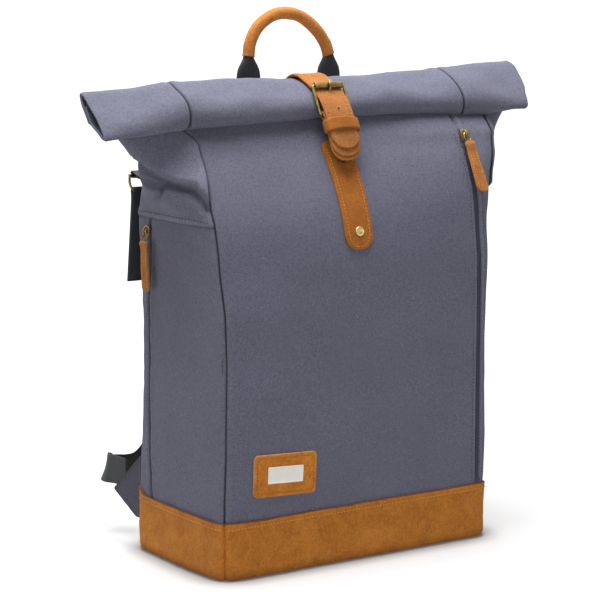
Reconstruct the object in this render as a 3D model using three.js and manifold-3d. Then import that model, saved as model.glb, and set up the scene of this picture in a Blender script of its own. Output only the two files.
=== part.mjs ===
// A roll-top travel backpack: canvas panels over a suede base, a rolled mouth held down by a leather
// strap with a roller buckle and a magnetic snap, a suede-wrapped grab handle, two zips with suede
// pulls, padded shoulder straps on webbing, and a D-ring with a hanging strap at each back corner.
// Millimetres. The origin is the middle of the flat underside, +Z is up and the front faces -Y.

import * as THREE from 'three';
import { ConvexGeometry } from 'three/addons/geometries/ConvexGeometry.js';
import { mergeVertices } from 'three/addons/utils/BufferGeometryUtils.js';
import Module from 'manifold-3d';

const wasm = await Module();
wasm.setup();

// ---------------------------------------------------------------- driving dimensions

const GAP = 0.3;                 // between pieces that touch
const HALF_WIDTH = 154;          // canvas body, middle to side
const HALF_DEPTH = 80;           // canvas body, middle to front or back at the base
const PANEL = 3;                 // canvas with its foam and backing
const SEAM_Z = 331;              // side seam, where the collar starts
const COLLAR_TOP_Z = 402;        // where the collar meets the roll
const SIDE_SPLAY = 0.7;          // degrees that each side leans outwards
const BAND_HEIGHT = 55;          // suede base band
const BAND = 2.2;                // suede thickness
const CANVAS_FOOT_Z = 45;        // canvas runs down behind the band to here
const ROLL_LENGTH = 500;         // rolled mouth, end to end
const ROLL_PLY = 5;              // two canvas layers rolled together
const STRAP_WIDTH = 32;          // closure strap
const LEATHER = 2.5;             // closure strap thickness
const PLY = 1.5;                 // one ply of the folded chape
const WIRE = 1.5;                // buckle wire radius
const WEBBING = 1.4;             // webbing thickness
const HANDLE_Y = 42;             // plane of the grab handle
const HANDLE_X = 47;             // handle foot, from the middle
const HANDLE_HINGE_Z = 446;      // where the handle webbing bends
const FRONT_ZIP_X = 144;         // front zip, near the right corner
const FRONT_ZIP_RADIUS = 215;    // its upper part bends over the shoulder of the bag
const FRONT_ZIP_CENTRE = [133.5, 288];
const FRONT_SLIDER_ANGLE = 31;   // where the closed slider rests on that bend
const SIDE_ZIP_RADIUS = 645;     // the side zip is one long arc
const SIDE_ZIP_CENTRE = [-586.5, 175];
const SIDE_SLIDER_ANGLE = 12.6;

// Outer faces of the front and back, from the base up, as (y, z).
const FRONT = [
  [-80, CANVAS_FOOT_Z], [-80, 240], [-79, 285], [-77, 305], [-73.5, 323], [-68, 340], [-61, 355],
  [-53.5, 369], [-46.5, 382], [-37.5, 395], [-31.5, COLLAR_TOP_Z],
];
const BACK = [
  [80, CANVAS_FOOT_Z], [76, SEAM_Z], [60, 358], [45, 381], [36, 395], [33, COLLAR_TOP_Z],
];

// Outer face of the roll, from the crease at the back, over the top and round to the front.
const ROLL = [
  [21, 407.5], [28, 423], [29.5, 438], [25, 450.5], [15.5, 457], [4, 457.5], [-9, 451.5],
  [-20.5, 443.5], [-28.5, 435.5], [-33, 427], [-34, 418], [-31, 409.5], [-21, 405], [-4, 404.5],
  [10, 404.5],
];

// Middle of the closure strap: up the back and over the roll, then down the front to the chape's end.
const STRAP_OVER = [
  [58, 366.5], [49, 381], [40.5, 394.5], [34.5, 408], [32.5, 424], [32.2, 440], [27.5, 452.5],
  [16.5, 459.7], [4, 459.9], [-6, 455.8],
];
const STRAP_DOWN = [
  [-6, 455.8], [-14.5, 452.4], [-25, 446.4], [-35.5, 437.6], [-43, 427.5], [-48.5, 417.5],
  [-54, 406], [-59, 394], [-63.2, 384],
];
const HINGE_GAP = 2.6;           // strap left off each side of its fold line
const BILLET_END = 84;           // distances down the front of the strap, from the fold line
const ROLLER_AT = 18;
const HEEL_AT = 47;
const KEEPER_AT = 61;
const STUD_AT = 88;
const CHAPE_END = 95;

// ---------------------------------------------------------------- materials

const paint = (color, roughness, metalness = 0) => () => (
  new THREE.MeshStandardMaterial({ color, roughness, metalness }));
const canvas = paint(0x646577, 0.9);
const suede = paint(0xb8732f, 0.85);
const lining = paint(0x8f8f8c, 0.9);
const foam = paint(0x3b3c40, 0.95);
const webbing = paint(0x26272a, 0.8);
const zipTape = paint(0x23243a, 0.6);
const brass = paint(0x8c7a45, 0.35, 1);
const steel = paint(0xd8d6cf, 0.4, 0.6);
const plastic = paint(0x1c1c1e, 0.5);

// ---------------------------------------------------------------- geometry helpers

const ACROSS_X = new THREE.Matrix4().makeBasis(
  new THREE.Vector3(0, 1, 0), new THREE.Vector3(0, 0, 1), new THREE.Vector3(1, 0, 0));
const ACROSS_Y = new THREE.Matrix4().makeBasis(
  new THREE.Vector3(1, 0, 0), new THREE.Vector3(0, 0, 1), new THREE.Vector3(0, -1, 0));
const ACROSS_Z = new THREE.Matrix4();

const vectors = (points) => points.map(([a, b]) => new THREE.Vector2(a, b));

// A prism of a flat outline, centred on its own mid-plane.
function prism(outline, depth, basis, holes = []) {
  const shape = new THREE.Shape(outline);
  shape.holes = holes.map((hole) => new THREE.Path(hole));
  const geometry = new THREE.ExtrudeGeometry(shape, { depth, bevelEnabled: false, steps: 1 });
  geometry.translate(0, 0, -depth / 2);
  return geometry.applyMatrix4(basis);
}

// The strip of an outline between two offsets to the left of a line of points.
function strip(points, from, to) {
  const normals = points.map((point, i) => {
    const before = points[Math.max(i - 1, 0)];
    const after = points[Math.min(i + 1, points.length - 1)];
    const along = after.clone().sub(before).normalize();
    return new THREE.Vector2(-along.y, along.x);
  });
  const edge = (offset) => points.map((p, i) => p.clone().addScaledVector(normals[i], offset));
  return [...edge(from), ...edge(to).reverse()];
}

// The part of a rising line of (y, z) points between two heights.
function stretch(points, low, high) {
  const at = (z) => {
    const i = points.findIndex((point, k) => k > 0 && point[1] >= z);
    const [y0, z0] = points[i - 1];
    const [y1, z1] = points[i];
    return [y0 + ((y1 - y0) * (z - z0)) / (z1 - z0), z];
  };
  return vectors([at(low), ...points.filter(([, z]) => z > low && z < high), at(high)]);
}

function box(low, high) {
  const size = high.map((value, i) => value - low[i]);
  const geometry = new THREE.BoxGeometry(...size);
  return geometry.translate(...low.map((value, i) => value + size[i] / 2));
}

// A bar between two points, with a many-sided section.
function bar(from, to, radius, sides = 10) {
  const start = new THREE.Vector3(...from);
  const run = new THREE.Vector3(...to).sub(start);
  const geometry = new THREE.CylinderGeometry(radius, radius, run.length(), sides);
  const turn = new THREE.Quaternion().setFromUnitVectors(
    new THREE.Vector3(0, 1, 0), run.clone().normalize());
  geometry.applyQuaternion(turn);
  return geometry.translate(...start.addScaledVector(run, 0.5).toArray());
}

const circle = (radius, sides, [a, b] = [0, 0]) => Array.from({ length: sides }, (_, i) => {
  const angle = (2 * Math.PI * i) / sides;
  return new THREE.Vector2(a + radius * Math.cos(angle), b + radius * Math.sin(angle));
});

const rectangle = (a0, b0, a1, b1) => vectors([[a0, b0], [a1, b0], [a1, b1], [a0, b1]]);

function solid(geometry) {
  const bare = geometry.index ? geometry.toNonIndexed() : geometry.clone();
  bare.deleteAttribute('normal');
  bare.deleteAttribute('uv');
  const merged = mergeVertices(bare, 1e-4);
  return new wasm.Manifold(new wasm.Mesh({
    numProp: 3,
    vertProperties: new Float32Array(merged.attributes.position.array),
    triVerts: new Uint32Array(merged.index.array),
  }));
}

function geometryOf(manifold) {
  const mesh = manifold.getMesh();
  const geometry = new THREE.BufferGeometry();
  geometry.setAttribute('position', new THREE.BufferAttribute(mesh.vertProperties, 3));
  geometry.setIndex(new THREE.BufferAttribute(mesh.triVerts, 1));
  return geometry;
}

const cut = (geometry, ...tools) => geometryOf(
  tools.reduce((left, tool) => left.subtract(solid(tool)), solid(geometry)));
const join = (...geometries) => geometryOf(
  geometries.map(solid).reduce((left, right) => left.add(right)));

function piece(name, geometry, material) {
  const mesh = new THREE.Mesh(geometry, material());
  mesh.name = name;
  return mesh;
}

const radians = THREE.MathUtils.degToRad;
const SIDES = [['left', -1], ['right', 1]];

// ---------------------------------------------------------------- canvas body

function rivetAxis() {
  const [low, high] = stretch(FRONT, 312, 318);
  const along = high.clone().sub(low).normalize();
  const outward = new THREE.Vector2(-along.y, along.x);
  const at = low.clone().lerp(high, 0.5);
  return (offset) => {
    const point = at.clone().addScaledVector(outward, offset);
    return [0, point.x, point.y];
  };
}

function frontPanel() {
  const panel = prism(strip(vectors(FRONT), 0, -PANEL), 2 * HALF_WIDTH, ACROSS_X);
  const along = rivetAxis();
  return piece('front_panel', cut(panel, bar(along(-6), along(6), 1.9)), canvas);
}

function backPanel() {
  return piece('back_panel', prism(strip(vectors(BACK), 0, PANEL), 2 * HALF_WIDTH, ACROSS_X), canvas);
}

function sidePanel([name, side]) {
  const inset = PANEL + 4 * GAP;
  const front = stretch(FRONT, CANVAS_FOOT_Z, SEAM_Z).map(({ x, y }) => [x + inset, y]);
  const back = stretch(BACK, CANVAS_FOOT_Z, SEAM_Z).map(({ x, y }) => [x - inset, y]).reverse();
  const plate = prism(vectors([...front, ...back]), PANEL, ACROSS_X);
  plate.translate(0, 0, -CANVAS_FOOT_Z);
  const mesh = piece(`side_panel_${name}`, plate, canvas);
  mesh.rotation.y = radians(side * SIDE_SPLAY);
  mesh.position.set(side * (HALF_WIDTH - PANEL / 2), 0, CANVAS_FOOT_Z);
  return mesh;
}

// The gusset above the side seam opens out sideways until it is as wide as the roll.
function collar([name, side]) {
  const inner = HALF_WIDTH + GAP;
  const low = SEAM_Z + 2 * GAP;
  const reach = 222;
  const corners = [
    [inner, -66.5, low], [inner, 73.5, low], [inner + 3.5, -66, low], [inner + 3.5, 73, low],
    [inner, -30.5, COLLAR_TOP_Z], [inner, 32, COLLAR_TOP_Z],
    [reach, -10, COLLAR_TOP_Z], [reach, 11, COLLAR_TOP_Z],
  ];
  const outer = corners.map(([x, y, z]) => new THREE.Vector3(side * x, y, z));
  const hollow = corners.map(([x, y, z]) => new THREE.Vector3(side * (x - PANEL), y * 0.93, z + PANEL));
  return piece(`collar_${name}`, cut(new ConvexGeometry(outer), new ConvexGeometry(hollow)), canvas);
}

// The mouth is rolled down towards the front, nearly two turns, and its ends stay open. The first
// half turn is the roll's outer face, and from there the layers wind inwards.
function rollTop() {
  const steps = 28;
  const turns = 1.7;
  const outerTurns = 0.55;
  const shrinkPerTurn = 0.48;
  const centre = new THREE.Vector2(-2, 431);
  const outline = new THREE.CatmullRomCurve3(
    ROLL.map(([y, z]) => new THREE.Vector3(y, z, 0)), true).getSpacedPoints(steps);
  const spiral = Array.from({ length: Math.round(steps * turns) }, (_, i) => {
    const point = outline[i % steps];
    const size = 1 - shrinkPerTurn * Math.max(0, i / steps - outerTurns);
    return new THREE.Vector2(point.x, point.y).sub(centre).multiplyScalar(size).add(centre);
  });
  return piece('roll_top', prism(strip(spiral, 0, ROLL_PLY), ROLL_LENGTH, ACROSS_X), canvas);
}

// ---------------------------------------------------------------- base, lining and padding

function baseBand() {
  const outerX = HALF_WIDTH + GAP + BAND;
  const outerY = HALF_DEPTH + GAP + BAND;
  const inY = outerY - BAND - GAP;
  const end = (name, side) => piece(name, box(
    [-outerX, side > 0 ? outerY - BAND : -outerY, 0],
    [outerX, side > 0 ? outerY : -outerY + BAND, BAND_HEIGHT]), suede);
  const flank = (name, side) => piece(name, box(
    [side > 0 ? outerX - BAND : -outerX, -inY, 0],
    [side > 0 ? outerX : -outerX + BAND, inY, BAND_HEIGHT]), suede);
  return [
    end('band_front', -1), end('band_back', 1), flank('band_left', -1), flank('band_right', 1),
    piece('base_panel', box([-HALF_WIDTH, -HALF_DEPTH, 0], [HALF_WIDTH, HALF_DEPTH, BAND]), suede),
    piece('base_board', box([-148, -74, BAND + GAP], [148, 74, BAND + GAP + 2.5]), plastic),
  ];
}

function liningBag() {
  const wall = 1;
  const low = 6;
  const high = 300;
  const outer = box([-149, -73, low], [149, 72.5, high]);
  const inner = box([-149 + wall, -73 + wall, low + wall], [149 - wall, 72.5 - wall, high + wall]);
  return piece('lining', cut(outer, inner), lining);
}

// A padded pocket open at the top, against the back.
function laptopSleeve() {
  const body = box([-125, 49, 10], [125, 71, 275]);
  const pocket = box([-121, 53, 14], [121, 80, 300]);
  return piece('laptop_sleeve', cut(body, pocket), foam);
}

function backPad() {
  const line = stretch(BACK, 70, 312);
  return piece('back_pad', prism(strip(line, -GAP, -9), 224, ACROSS_X), foam);
}

// ---------------------------------------------------------------- closure strap and its buckle

const downCurve = new THREE.SplineCurve(vectors(STRAP_DOWN));
const downLength = downCurve.getLength();

// A point on the front of the strap: distance from the fold line, and distance outwards.
function onStrap(distance, outwards = 0) {
  const u = Math.min(distance / downLength, 1);
  const along = downCurve.getTangentAt(u);
  return downCurve.getPointAt(u).addScaledVector(new THREE.Vector2(along.y, -along.x), outwards);
}

const runOfStrap = (from, to, outwards, count) => Array.from({ length: count + 1 }, (_, i) => (
  onStrap(from + ((to - from) * i) / count, outwards)));

const rollerCentre = onStrap(ROLLER_AT, LEATHER / 2 + 3.3);
const heelCentre = onStrap(HEEL_AT, -(LEATHER / 2 + 2 * GAP + PLY + WIRE));
const frameAxis = rollerCentre.clone().sub(heelCentre).normalize();
const frameOut = new THREE.Vector2(-frameAxis.y, frameAxis.x);

const spot = (x, { x: y, y: z }) => [x, y, z];

function strapOverRoll() {
  const curve = new THREE.SplineCurve(vectors(STRAP_OVER));
  const whole = curve.getLength();
  const kept = (whole - HINGE_GAP) / whole;
  const count = 22;
  const line = Array.from({ length: count + 1 }, (_, i) => curve.getPointAt((kept * i) / count));
  const outline = strip(line, -LEATHER / 2, LEATHER / 2);
  return piece('closure_strap', prism(outline, STRAP_WIDTH, ACROSS_X), suede);
}

// The wedge that the prong sweeps, cut out of the leather that it passes through.
function prongSlot() {
  const reach = 24;
  const away = (angle) => frameAxis.clone().rotateAround(new THREE.Vector2(), radians(angle));
  const wedge = [
    heelCentre.clone().addScaledVector(frameOut, -3.6),
    heelCentre.clone().addScaledVector(frameAxis, reach).addScaledVector(frameOut, -1.2),
    heelCentre.clone().addScaledVector(away(22), reach),
    heelCentre.clone().addScaledVector(frameOut, 3.4).addScaledVector(frameAxis, -2.5),
    heelCentre.clone().addScaledVector(frameAxis, -4),
  ];
  return prism(wedge, 4.4, ACROSS_X);
}

function billet() {
  const line = runOfStrap(HINGE_GAP, BILLET_END, 0, 18);
  const body = prism(strip(line, -LEATHER / 2, LEATHER / 2), STRAP_WIDTH, ACROSS_X);
  const hole = (distance) => bar(
    spot(0, onStrap(distance, -4)), spot(0, onStrap(distance, 4)), 1.6, 8);
  return piece('billet', cut(body, prongSlot(), hole(10), hole(51)), suede);
}

// The chape folds round the buckle's heel bar, and both plies run on down behind the billet.
function chape() {
  const middle = LEATHER / 2 + GAP + PLY / 2;
  const turn = WIRE + GAP + PLY / 2;
  const front = runOfStrap(CHAPE_END, HEEL_AT + 2, -middle, 9);
  const fold = [80, 50, 20, -10, -40, -70, -100].map((angle) => {
    const arm = frameAxis.clone().multiplyScalar(turn);
    return arm.rotateAround(new THREE.Vector2(), radians(angle)).add(heelCentre);
  });
  const neck = [onStrap(51.5, -6.2), onStrap(54, -4.8), onStrap(57, -(middle + PLY + GAP))];
  const back = runOfStrap(60, CHAPE_END, -(middle + PLY + GAP), 7);
  const body = prism(strip([...front, ...fold, ...neck, ...back], -PLY / 2, PLY / 2),
    STRAP_WIDTH, ACROSS_X);
  const eyeRoom = bar(spot(-2.2, heelCentre), spot(2.2, heelCentre), 3.7, 14);
  return piece('chape', cut(body, prongSlot(), eyeRoom), suede);
}

function keeper() {
  const ring = prism(rectangle(-19, -7.8, 19, 4), 11, ACROSS_Z,
    [rectangle(-17, -6.2, 17, 2.2)]);
  const mesh = piece('keeper', ring, suede);
  const at = onStrap(KEEPER_AT);
  const along = onStrap(KEEPER_AT - 5).sub(onStrap(KEEPER_AT + 5)).normalize();
  mesh.rotation.x = -Math.atan2(along.x, along.y) + Math.PI;
  mesh.position.set(0, at.x, at.y);
  return mesh;
}

function buckle() {
  const half = 18.5;
  const rail = (x) => bar(spot(x, heelCentre), spot(x, rollerCentre), WIRE);
  const cross = (centre) => bar(spot(-half - WIRE, centre), spot(half + WIRE, centre), WIRE);
  const roller = new THREE.LatheGeometry(vectors([
    [1.9, -15.5], [2.9, -15.5], [2.9, 15.5], [1.9, 15.5], [1.9, -15.5]]), 12);
  roller.rotateZ(Math.PI / 2);
  roller.translate(...spot(0, rollerCentre));
  const prongRadius = 1.1;
  const tip = rollerCentre.clone().addScaledVector(frameOut, 2.9 + GAP + prongRadius)
    .addScaledVector(frameAxis, 2);
  const eye = prism(circle(3.1, 14, heelCentre.toArray()), 2.4, ACROSS_X);
  const root = heelCentre.clone().addScaledVector(frameOut, 1.6).addScaledVector(frameAxis, 1.4);
  const rod = prism(strip([root, tip], -prongRadius, prongRadius), 2.4, ACROSS_X);
  const bore = bar(spot(-4, heelCentre), spot(4, heelCentre), 1.85, 12);
  return [
    piece('buckle_frame', join(rail(-half), rail(half), cross(rollerCentre), cross(heelCentre)), brass),
    piece('buckle_roller', roller, brass),
    piece('buckle_prong', cut(join(eye, rod), bore), brass),
  ];
}

// The lower strap is sewn and riveted to the front, and holds half of the magnetic snap.
function lowerStrap() {
  const line = stretch(FRONT, 300, 394);
  const body = prism(strip(line, GAP, GAP + LEATHER), STRAP_WIDTH, ACROSS_X);
  const along = rivetAxis();
  return piece('lower_strap', cut(body, bar(along(-6), along(6), 1.9)), suede);
}

function rivet() {
  const along = rivetAxis();
  const face = GAP + LEATHER + GAP;
  const head = bar(along(face), along(face + 2), 4.75, 16);
  const shank = bar(along(-PANEL - 1.6), along(face + 1), 1.5, 10);
  const washer = bar(along(-PANEL - GAP), along(-PANEL - GAP - 1), 5, 16);
  return [
    piece('rivet', join(head, shank), brass),
    piece('rivet_washer', cut(washer, bar(along(-PANEL - 3), along(0), 1.9)), brass),
  ];
}

function magneticSnap() {
  const behind = (offset) => spot(0, onStrap(STUD_AT, -offset));
  const chapeBack = LEATHER / 2 + 2 * (PLY + GAP) + GAP;
  return [
    piece('snap_stud', bar(behind(chapeBack), behind(chapeBack + 3), 7, 16), brass),
    piece('snap_socket', bar(behind(chapeBack + 3 + GAP), behind(chapeBack + 6.4), 7.5, 16), brass),
  ];
}

// ---------------------------------------------------------------- grab handle

const HANDLE_ARCH = [
  [-HANDLE_X, 473], [-44, 490], [-34, 505], [-17, 513.5], [0, 515.5], [17, 513.5], [34, 505],
  [44, 490], [HANDLE_X, 473],
];

function handleRod(radius, sides, bore = 0) {
  const path = new THREE.CatmullRomCurve3(
    HANDLE_ARCH.map(([x, z]) => new THREE.Vector3(x, HANDLE_Y, z)));
  const shape = new THREE.Shape(circle(radius, sides));
  shape.holes = bore ? [new THREE.Path(circle(bore, sides))] : [];
  return new THREE.ExtrudeGeometry(shape, { steps: 26, extrudePath: path, bevelEnabled: false });
}

function handle() {
  const foot = (side) => {
    const low = HANDLE_HINGE_Z + 1.4;
    const corner = (x, y, z) => new THREE.Vector3(side * HANDLE_X + x, HANDLE_Y + y, z);
    const level = (half, z) => [[-half, -1], [half, -1], [half, 1], [-half, 1]]
      .map(([x, y]) => corner(x, y, z));
    return new ConvexGeometry([...level(13, low), ...level(12, 455), ...level(2.5, 474)]);
  };
  return [
    piece('handle_sleeve', handleRod(6, 12, 4), suede),
    piece('handle_webbing', join(handleRod(3.4, 8), foot(-1), foot(1)), webbing),
  ];
}

function handleTab([name, side]) {
  const line = new THREE.SplineCurve(vectors([
    [61.5, 362.5], [57, 370], [47.8, 384], [41.5, 397], [40, 410], [41, 428],
    [HANDLE_Y, HANDLE_HINGE_Z - 1.4],
  ])).getSpacedPoints(12);
  const mesh = piece(`handle_tab_${name}`, prism(strip(line, -1, 1), 26, ACROSS_X), webbing);
  mesh.position.x = side * HANDLE_X;
  return mesh;
}

// ---------------------------------------------------------------- zips

const PULL_LENGTH = 48;
const PULL_WIDTH = 13;
const PULL_HINGE = [0, -5.5, 0.5];

// A slider with its bail, standing on the tape: x across the zip, y off the bag, z along it.
function slider(name) {
  const body = box([-4.5, -4.2, -6], [4.5, -GAP, 6]);
  const bail = box([-1.2, -7.4, -4], [1.2, -4, 4]);
  const eye = box([-3, -6.7, -2.4], [3, -4.3, 2.4]);
  return piece(name, cut(join(body, bail), eye), brass);
}

// The link's upper bar lies in the bail's eye, and its centre is the pull's hinge.
function pullLink(name) {
  const ring = prism(rectangle(-4, -8, 4, 0.7), 1.2, ACROSS_Y, [rectangle(-2.6, -6.6, 2.6, -0.7)]);
  return piece(name, ring, brass);
}

function suedePull(name) {
  const top = -8 - GAP;
  const half = PULL_WIDTH / 2;
  const low = top - PULL_LENGTH;
  const outline = vectors([
    [-4.5, top], [4.5, top], [half, top - 4], [half, low + 3], [4, low], [-4, low],
    [-half, low + 3], [-half, top - 4]]);
  return piece(name, prism(outline, 3, ACROSS_Y, [rectangle(-2, top - 8, 2, top - 3)]), suede);
}

// A slider and its pull, the pull turned towards the bag and then sideways from the zip's line.
function zipRunner(prefix, inwards, sideways) {
  const runner = new THREE.Group();
  const pull = new THREE.Group();
  pull.add(pullLink(`${prefix}_link`), suedePull(`${prefix}_pull`));
  pull.position.set(...PULL_HINGE);
  pull.rotation.set(radians(inwards), radians(sideways), 0, 'XYZ');
  runner.add(slider(`${prefix}_slider`), pull);
  return runner;
}

// Middle line of the front zip: straight up the front, then over the bend.
function frontZip() {
  const [cy, cz] = FRONT_ZIP_CENTRE;
  const bend = [0, 0.2, 0.4, 0.6, 0.8, 1].map((part) => {
    const angle = radians(part * (FRONT_SLIDER_ANGLE + 1.5));
    return [cy - FRONT_ZIP_RADIUS * Math.cos(angle), cz + FRONT_ZIP_RADIUS * Math.sin(angle)];
  });
  const line = vectors([[cy - FRONT_ZIP_RADIUS, BAND_HEIGHT + 4], ...bend]);
  const tape = prism(strip(line, 0, -1.2), 6, ACROSS_X);
  tape.translate(FRONT_ZIP_X, 0, 0);
  const runner = zipRunner('front', 2, 0);
  const angle = radians(FRONT_SLIDER_ANGLE);
  runner.position.set(FRONT_ZIP_X, cy - FRONT_ZIP_RADIUS * Math.cos(angle),
    cz + FRONT_ZIP_RADIUS * Math.sin(angle));
  runner.rotation.x = -angle;
  return [piece('front_zip', tape, zipTape), runner];
}

// The left side panel leans out, so its zip is placed in the panel's own leaning frame.
function sideZip() {
  const [cy, cz] = SIDE_ZIP_CENTRE;
  const ends = [66, 326].map((z) => Math.asin((z - cz) / SIDE_ZIP_RADIUS));
  const count = 20;
  const line = Array.from({ length: count + 1 }, (_, i) => {
    const angle = ends[0] + ((ends[1] - ends[0]) * i) / count;
    return new THREE.Vector2(
      cy + SIDE_ZIP_RADIUS * Math.cos(angle), cz + SIDE_ZIP_RADIUS * Math.sin(angle));
  });
  const tape = prism(strip(line, -3, 3), 1.2, ACROSS_X);
  tape.translate(-(GAP + 0.6), 0, -CANVAS_FOOT_Z);
  const runner = zipRunner('side', 0, -SIDE_SLIDER_ANGLE);
  const angle = radians(SIDE_SLIDER_ANGLE);
  runner.position.set(-(GAP + 1.2), cy + SIDE_ZIP_RADIUS * Math.cos(angle),
    cz + SIDE_ZIP_RADIUS * Math.sin(angle) - CANVAS_FOOT_Z);
  runner.rotation.set(angle, 0, radians(-90), 'XYZ');
  const leaning = new THREE.Group();
  leaning.add(piece('side_zip', tape, zipTape), runner);
  leaning.rotation.y = radians(-SIDE_SPLAY);
  leaning.position.set(-HALF_WIDTH, 0, CANVAS_FOOT_Z);
  return leaning;
}

// ---------------------------------------------------------------- shoulder straps

// A strap of rectangular section through stations, each with its middle and half its width.
function ribbon(stations, thickness, count) {
  const curve = (key) => new THREE.CatmullRomCurve3(
    stations.map((station) => new THREE.Vector3(...station[key])));
  const [middle, across] = [curve('at'), curve('half')];
  const rings = Array.from({ length: count + 1 }, (_, i) => {
    const at = middle.getPoint(i / count);
    const half = across.getPoint(i / count);
    const out = middle.getTangent(i / count).cross(half).setLength(thickness / 2);
    return [[-1, -1], [1, -1], [1, 1], [-1, 1]].map(([a, b]) => (
      at.clone().addScaledVector(half, a).addScaledVector(out, b)));
  });
  const corners = rings.flat();
  const faces = [0, 2, 1, 0, 3, 2];
  for (let i = 0; i < count; i += 1) {
    for (let j = 0; j < 4; j += 1) {
      const [a, b] = [4 * i + j, 4 * i + ((j + 1) % 4)];
      faces.push(a, b, b + 4, a, b + 4, a + 4);
    }
  }
  const last = 4 * count;
  faces.push(last, last + 1, last + 2, last, last + 2, last + 3);
  const geometry = new THREE.BufferGeometry().setFromPoints(corners);
  geometry.setIndex(faces);
  return geometry;
}

const mirrored = ([x, y, z], side) => [side * x, y, z];

// Stations are given for the right strap; the left one is its mirror image.
function sideRibbon(name, side, stations, thickness, count, material) {
  const placed = stations.map(({ at, half }) => ({
    at: mirrored(at, side),
    half: mirrored(half, side).map((value) => value * side),
  }));
  return piece(name, ribbon(placed, thickness, count), material);
}

const LOCK = [98, 121, 150];     // middle of the ladder lock's own middle bar

function shoulderStrap([name, side]) {
  const padded = [
    { at: [50, 90, 338], half: [26, 0, 4] }, { at: [53, 107, 318], half: [28, 0, 4] },
    { at: [61, 122, 285], half: [28, 0, 7] }, { at: [73, 130, 240], half: [27, 0, 7] },
    { at: [85, 129, 200], half: [23, 0, 6] }, { at: [93.5, 124.5, 170], half: [16, 0, 4] },
  ];
  const threaded = [
    { at: [150, 115.5, 69], half: [0, 11.6, -9.5] }, { at: [152, 139, 70], half: [-4, 8, -12] },
    { at: [144, 157, 68], half: [-9, 2, -12] }, { at: [126, 153, 86], half: [-12, -3, -8] },
    { at: [110, 129, 110], half: [-12.5, -2, -2] }, { at: [101.5, 117.6, 130], half: [-12.5, 0, -2] },
    { at: [98.6, 117.8, 142], half: [-12.5, 0, -2] }, { at: [97.6, 118, 151], half: [-12.5, 0, -2] },
    { at: [97, 121, 154.6], half: [-12.5, 0, -2] }, { at: [97.6, 124, 151], half: [-12.5, 0, -2] },
    { at: [99, 124.8, 140], half: [-12.5, 0, -2] }, { at: [101, 127, 130], half: [-12.5, 0, -2] },
    { at: [102.5, 129, 121], half: [-12.5, 0, -2] },
  ];
  return [
    sideRibbon(`shoulder_strap_${name}`, side, padded, 10, 14, foam),
    sideRibbon(`adjuster_webbing_${name}`, side, threaded, WEBBING, 44, webbing),
    ladderLock([name, side]),
  ];
}

function ladderLock([name, side]) {
  const frame = prism(rectangle(-17, -14, 17, 15), 3, ACROSS_Y,
    [rectangle(-13.5, 2, 13.5, 11.5), rectangle(-13.5, -10.5, 13.5, -2)]);
  const mesh = piece(`ladder_lock_${name}`, frame, plastic);
  mesh.position.set(...mirrored(LOCK, side));
  mesh.rotation.y = radians(-side * 9);
  return mesh;
}

function strapYoke([name, side]) {
  const plate = prism(strip(stretch(BACK, 334, 356), -GAP, -3), 60, ACROSS_X);
  plate.translate(side * 50, 0, 0);
  return piece(`strap_yoke_${name}`, plate, foam);
}

// A canvas wing sewn into the back corner seam; the strap's webbing starts at its far edge.
function wing([name, side]) {
  const outline = vectors([[81 + 3, 86], [84, 21], [90, 21], [134, 42]]);
  const plate = prism(outline, 3, ACROSS_X);
  plate.translate(side * 150, 0, 0);
  return piece(`wing_${name}`, plate, canvas);
}

// ---------------------------------------------------------------- D-rings at the back corners

const RING_AT = [143, 86, 366];  // the ring's upper bar
const RING_WEBBING = 19;         // width of its tab and of the strap that hangs from it

// The outline of webbing folded round a bar at the origin, its two plies running down.
function foldedWebbing(barRadius, length) {
  const turn = barRadius + GAP + WEBBING / 2;
  const spread = WEBBING / 2 + GAP / 2;
  const arc = [0, 30, 60, 90, 120, 150, 180].map((angle) => new THREE.Vector2(
    turn * Math.cos(radians(angle)), turn * Math.sin(radians(angle))));
  const side = (sign) => vectors([[sign * spread, -length], [sign * spread, -3 * turn]]);
  return strip([...side(1), ...arc, ...side(-1).reverse()], -WEBBING / 2, WEBBING / 2);
}

function cornerRing([name, side]) {
  const [width, height, wire] = [26, 18, 2.4];
  const ring = prism(
    rectangle(-width / 2, wire / 2 - height, width / 2, wire / 2), wire, ACROSS_Y,
    [rectangle(-width / 2 + wire, 1.5 * wire - height, width / 2 - wire, -wire / 2)]);
  const folded = (length) => prism(foldedWebbing(wire * 0.9, length), RING_WEBBING, ACROSS_X);
  const hanging = piece(`hanging_strap_${name}`, folded(76), webbing);
  hanging.position.z = wire - height;
  const tab = piece(`d_ring_tab_${name}`, folded(31), webbing);
  tab.rotation.x = radians(-98);
  const placed = new THREE.Group();
  placed.add(piece(`d_ring_${name}`, ring, brass), hanging, tab);
  placed.position.set(...mirrored(RING_AT, side));
  return placed;
}

// ---------------------------------------------------------------- patch

function frontPatch() {
  const face = -HALF_DEPTH - GAP;
  return [
    piece('patch', box([-117, face - 2, 70], [-52, face, 110]), suede),
    piece('patch_plate', box([-104, face - 2 - GAP - 1.2, 82], [-66, face - 2 - GAP, 96]), steel),
  ];
}

const backpack = new THREE.Group();
backpack.add(
  frontPanel(), backPanel(), ...SIDES.map(sidePanel), ...SIDES.map(collar), rollTop(),
  ...baseBand(), liningBag(), laptopSleeve(), backPad(),
  strapOverRoll(), billet(), chape(), keeper(), ...buckle(), lowerStrap(), ...rivet(),
  ...magneticSnap(), ...handle(), ...SIDES.map(handleTab), ...frontZip(), sideZip(),
  ...SIDES.flatMap(shoulderStrap), ...SIDES.map(strapYoke), ...SIDES.map(wing),
  ...SIDES.map(cornerRing), ...frontPatch(),
);

export default backpack;
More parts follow.
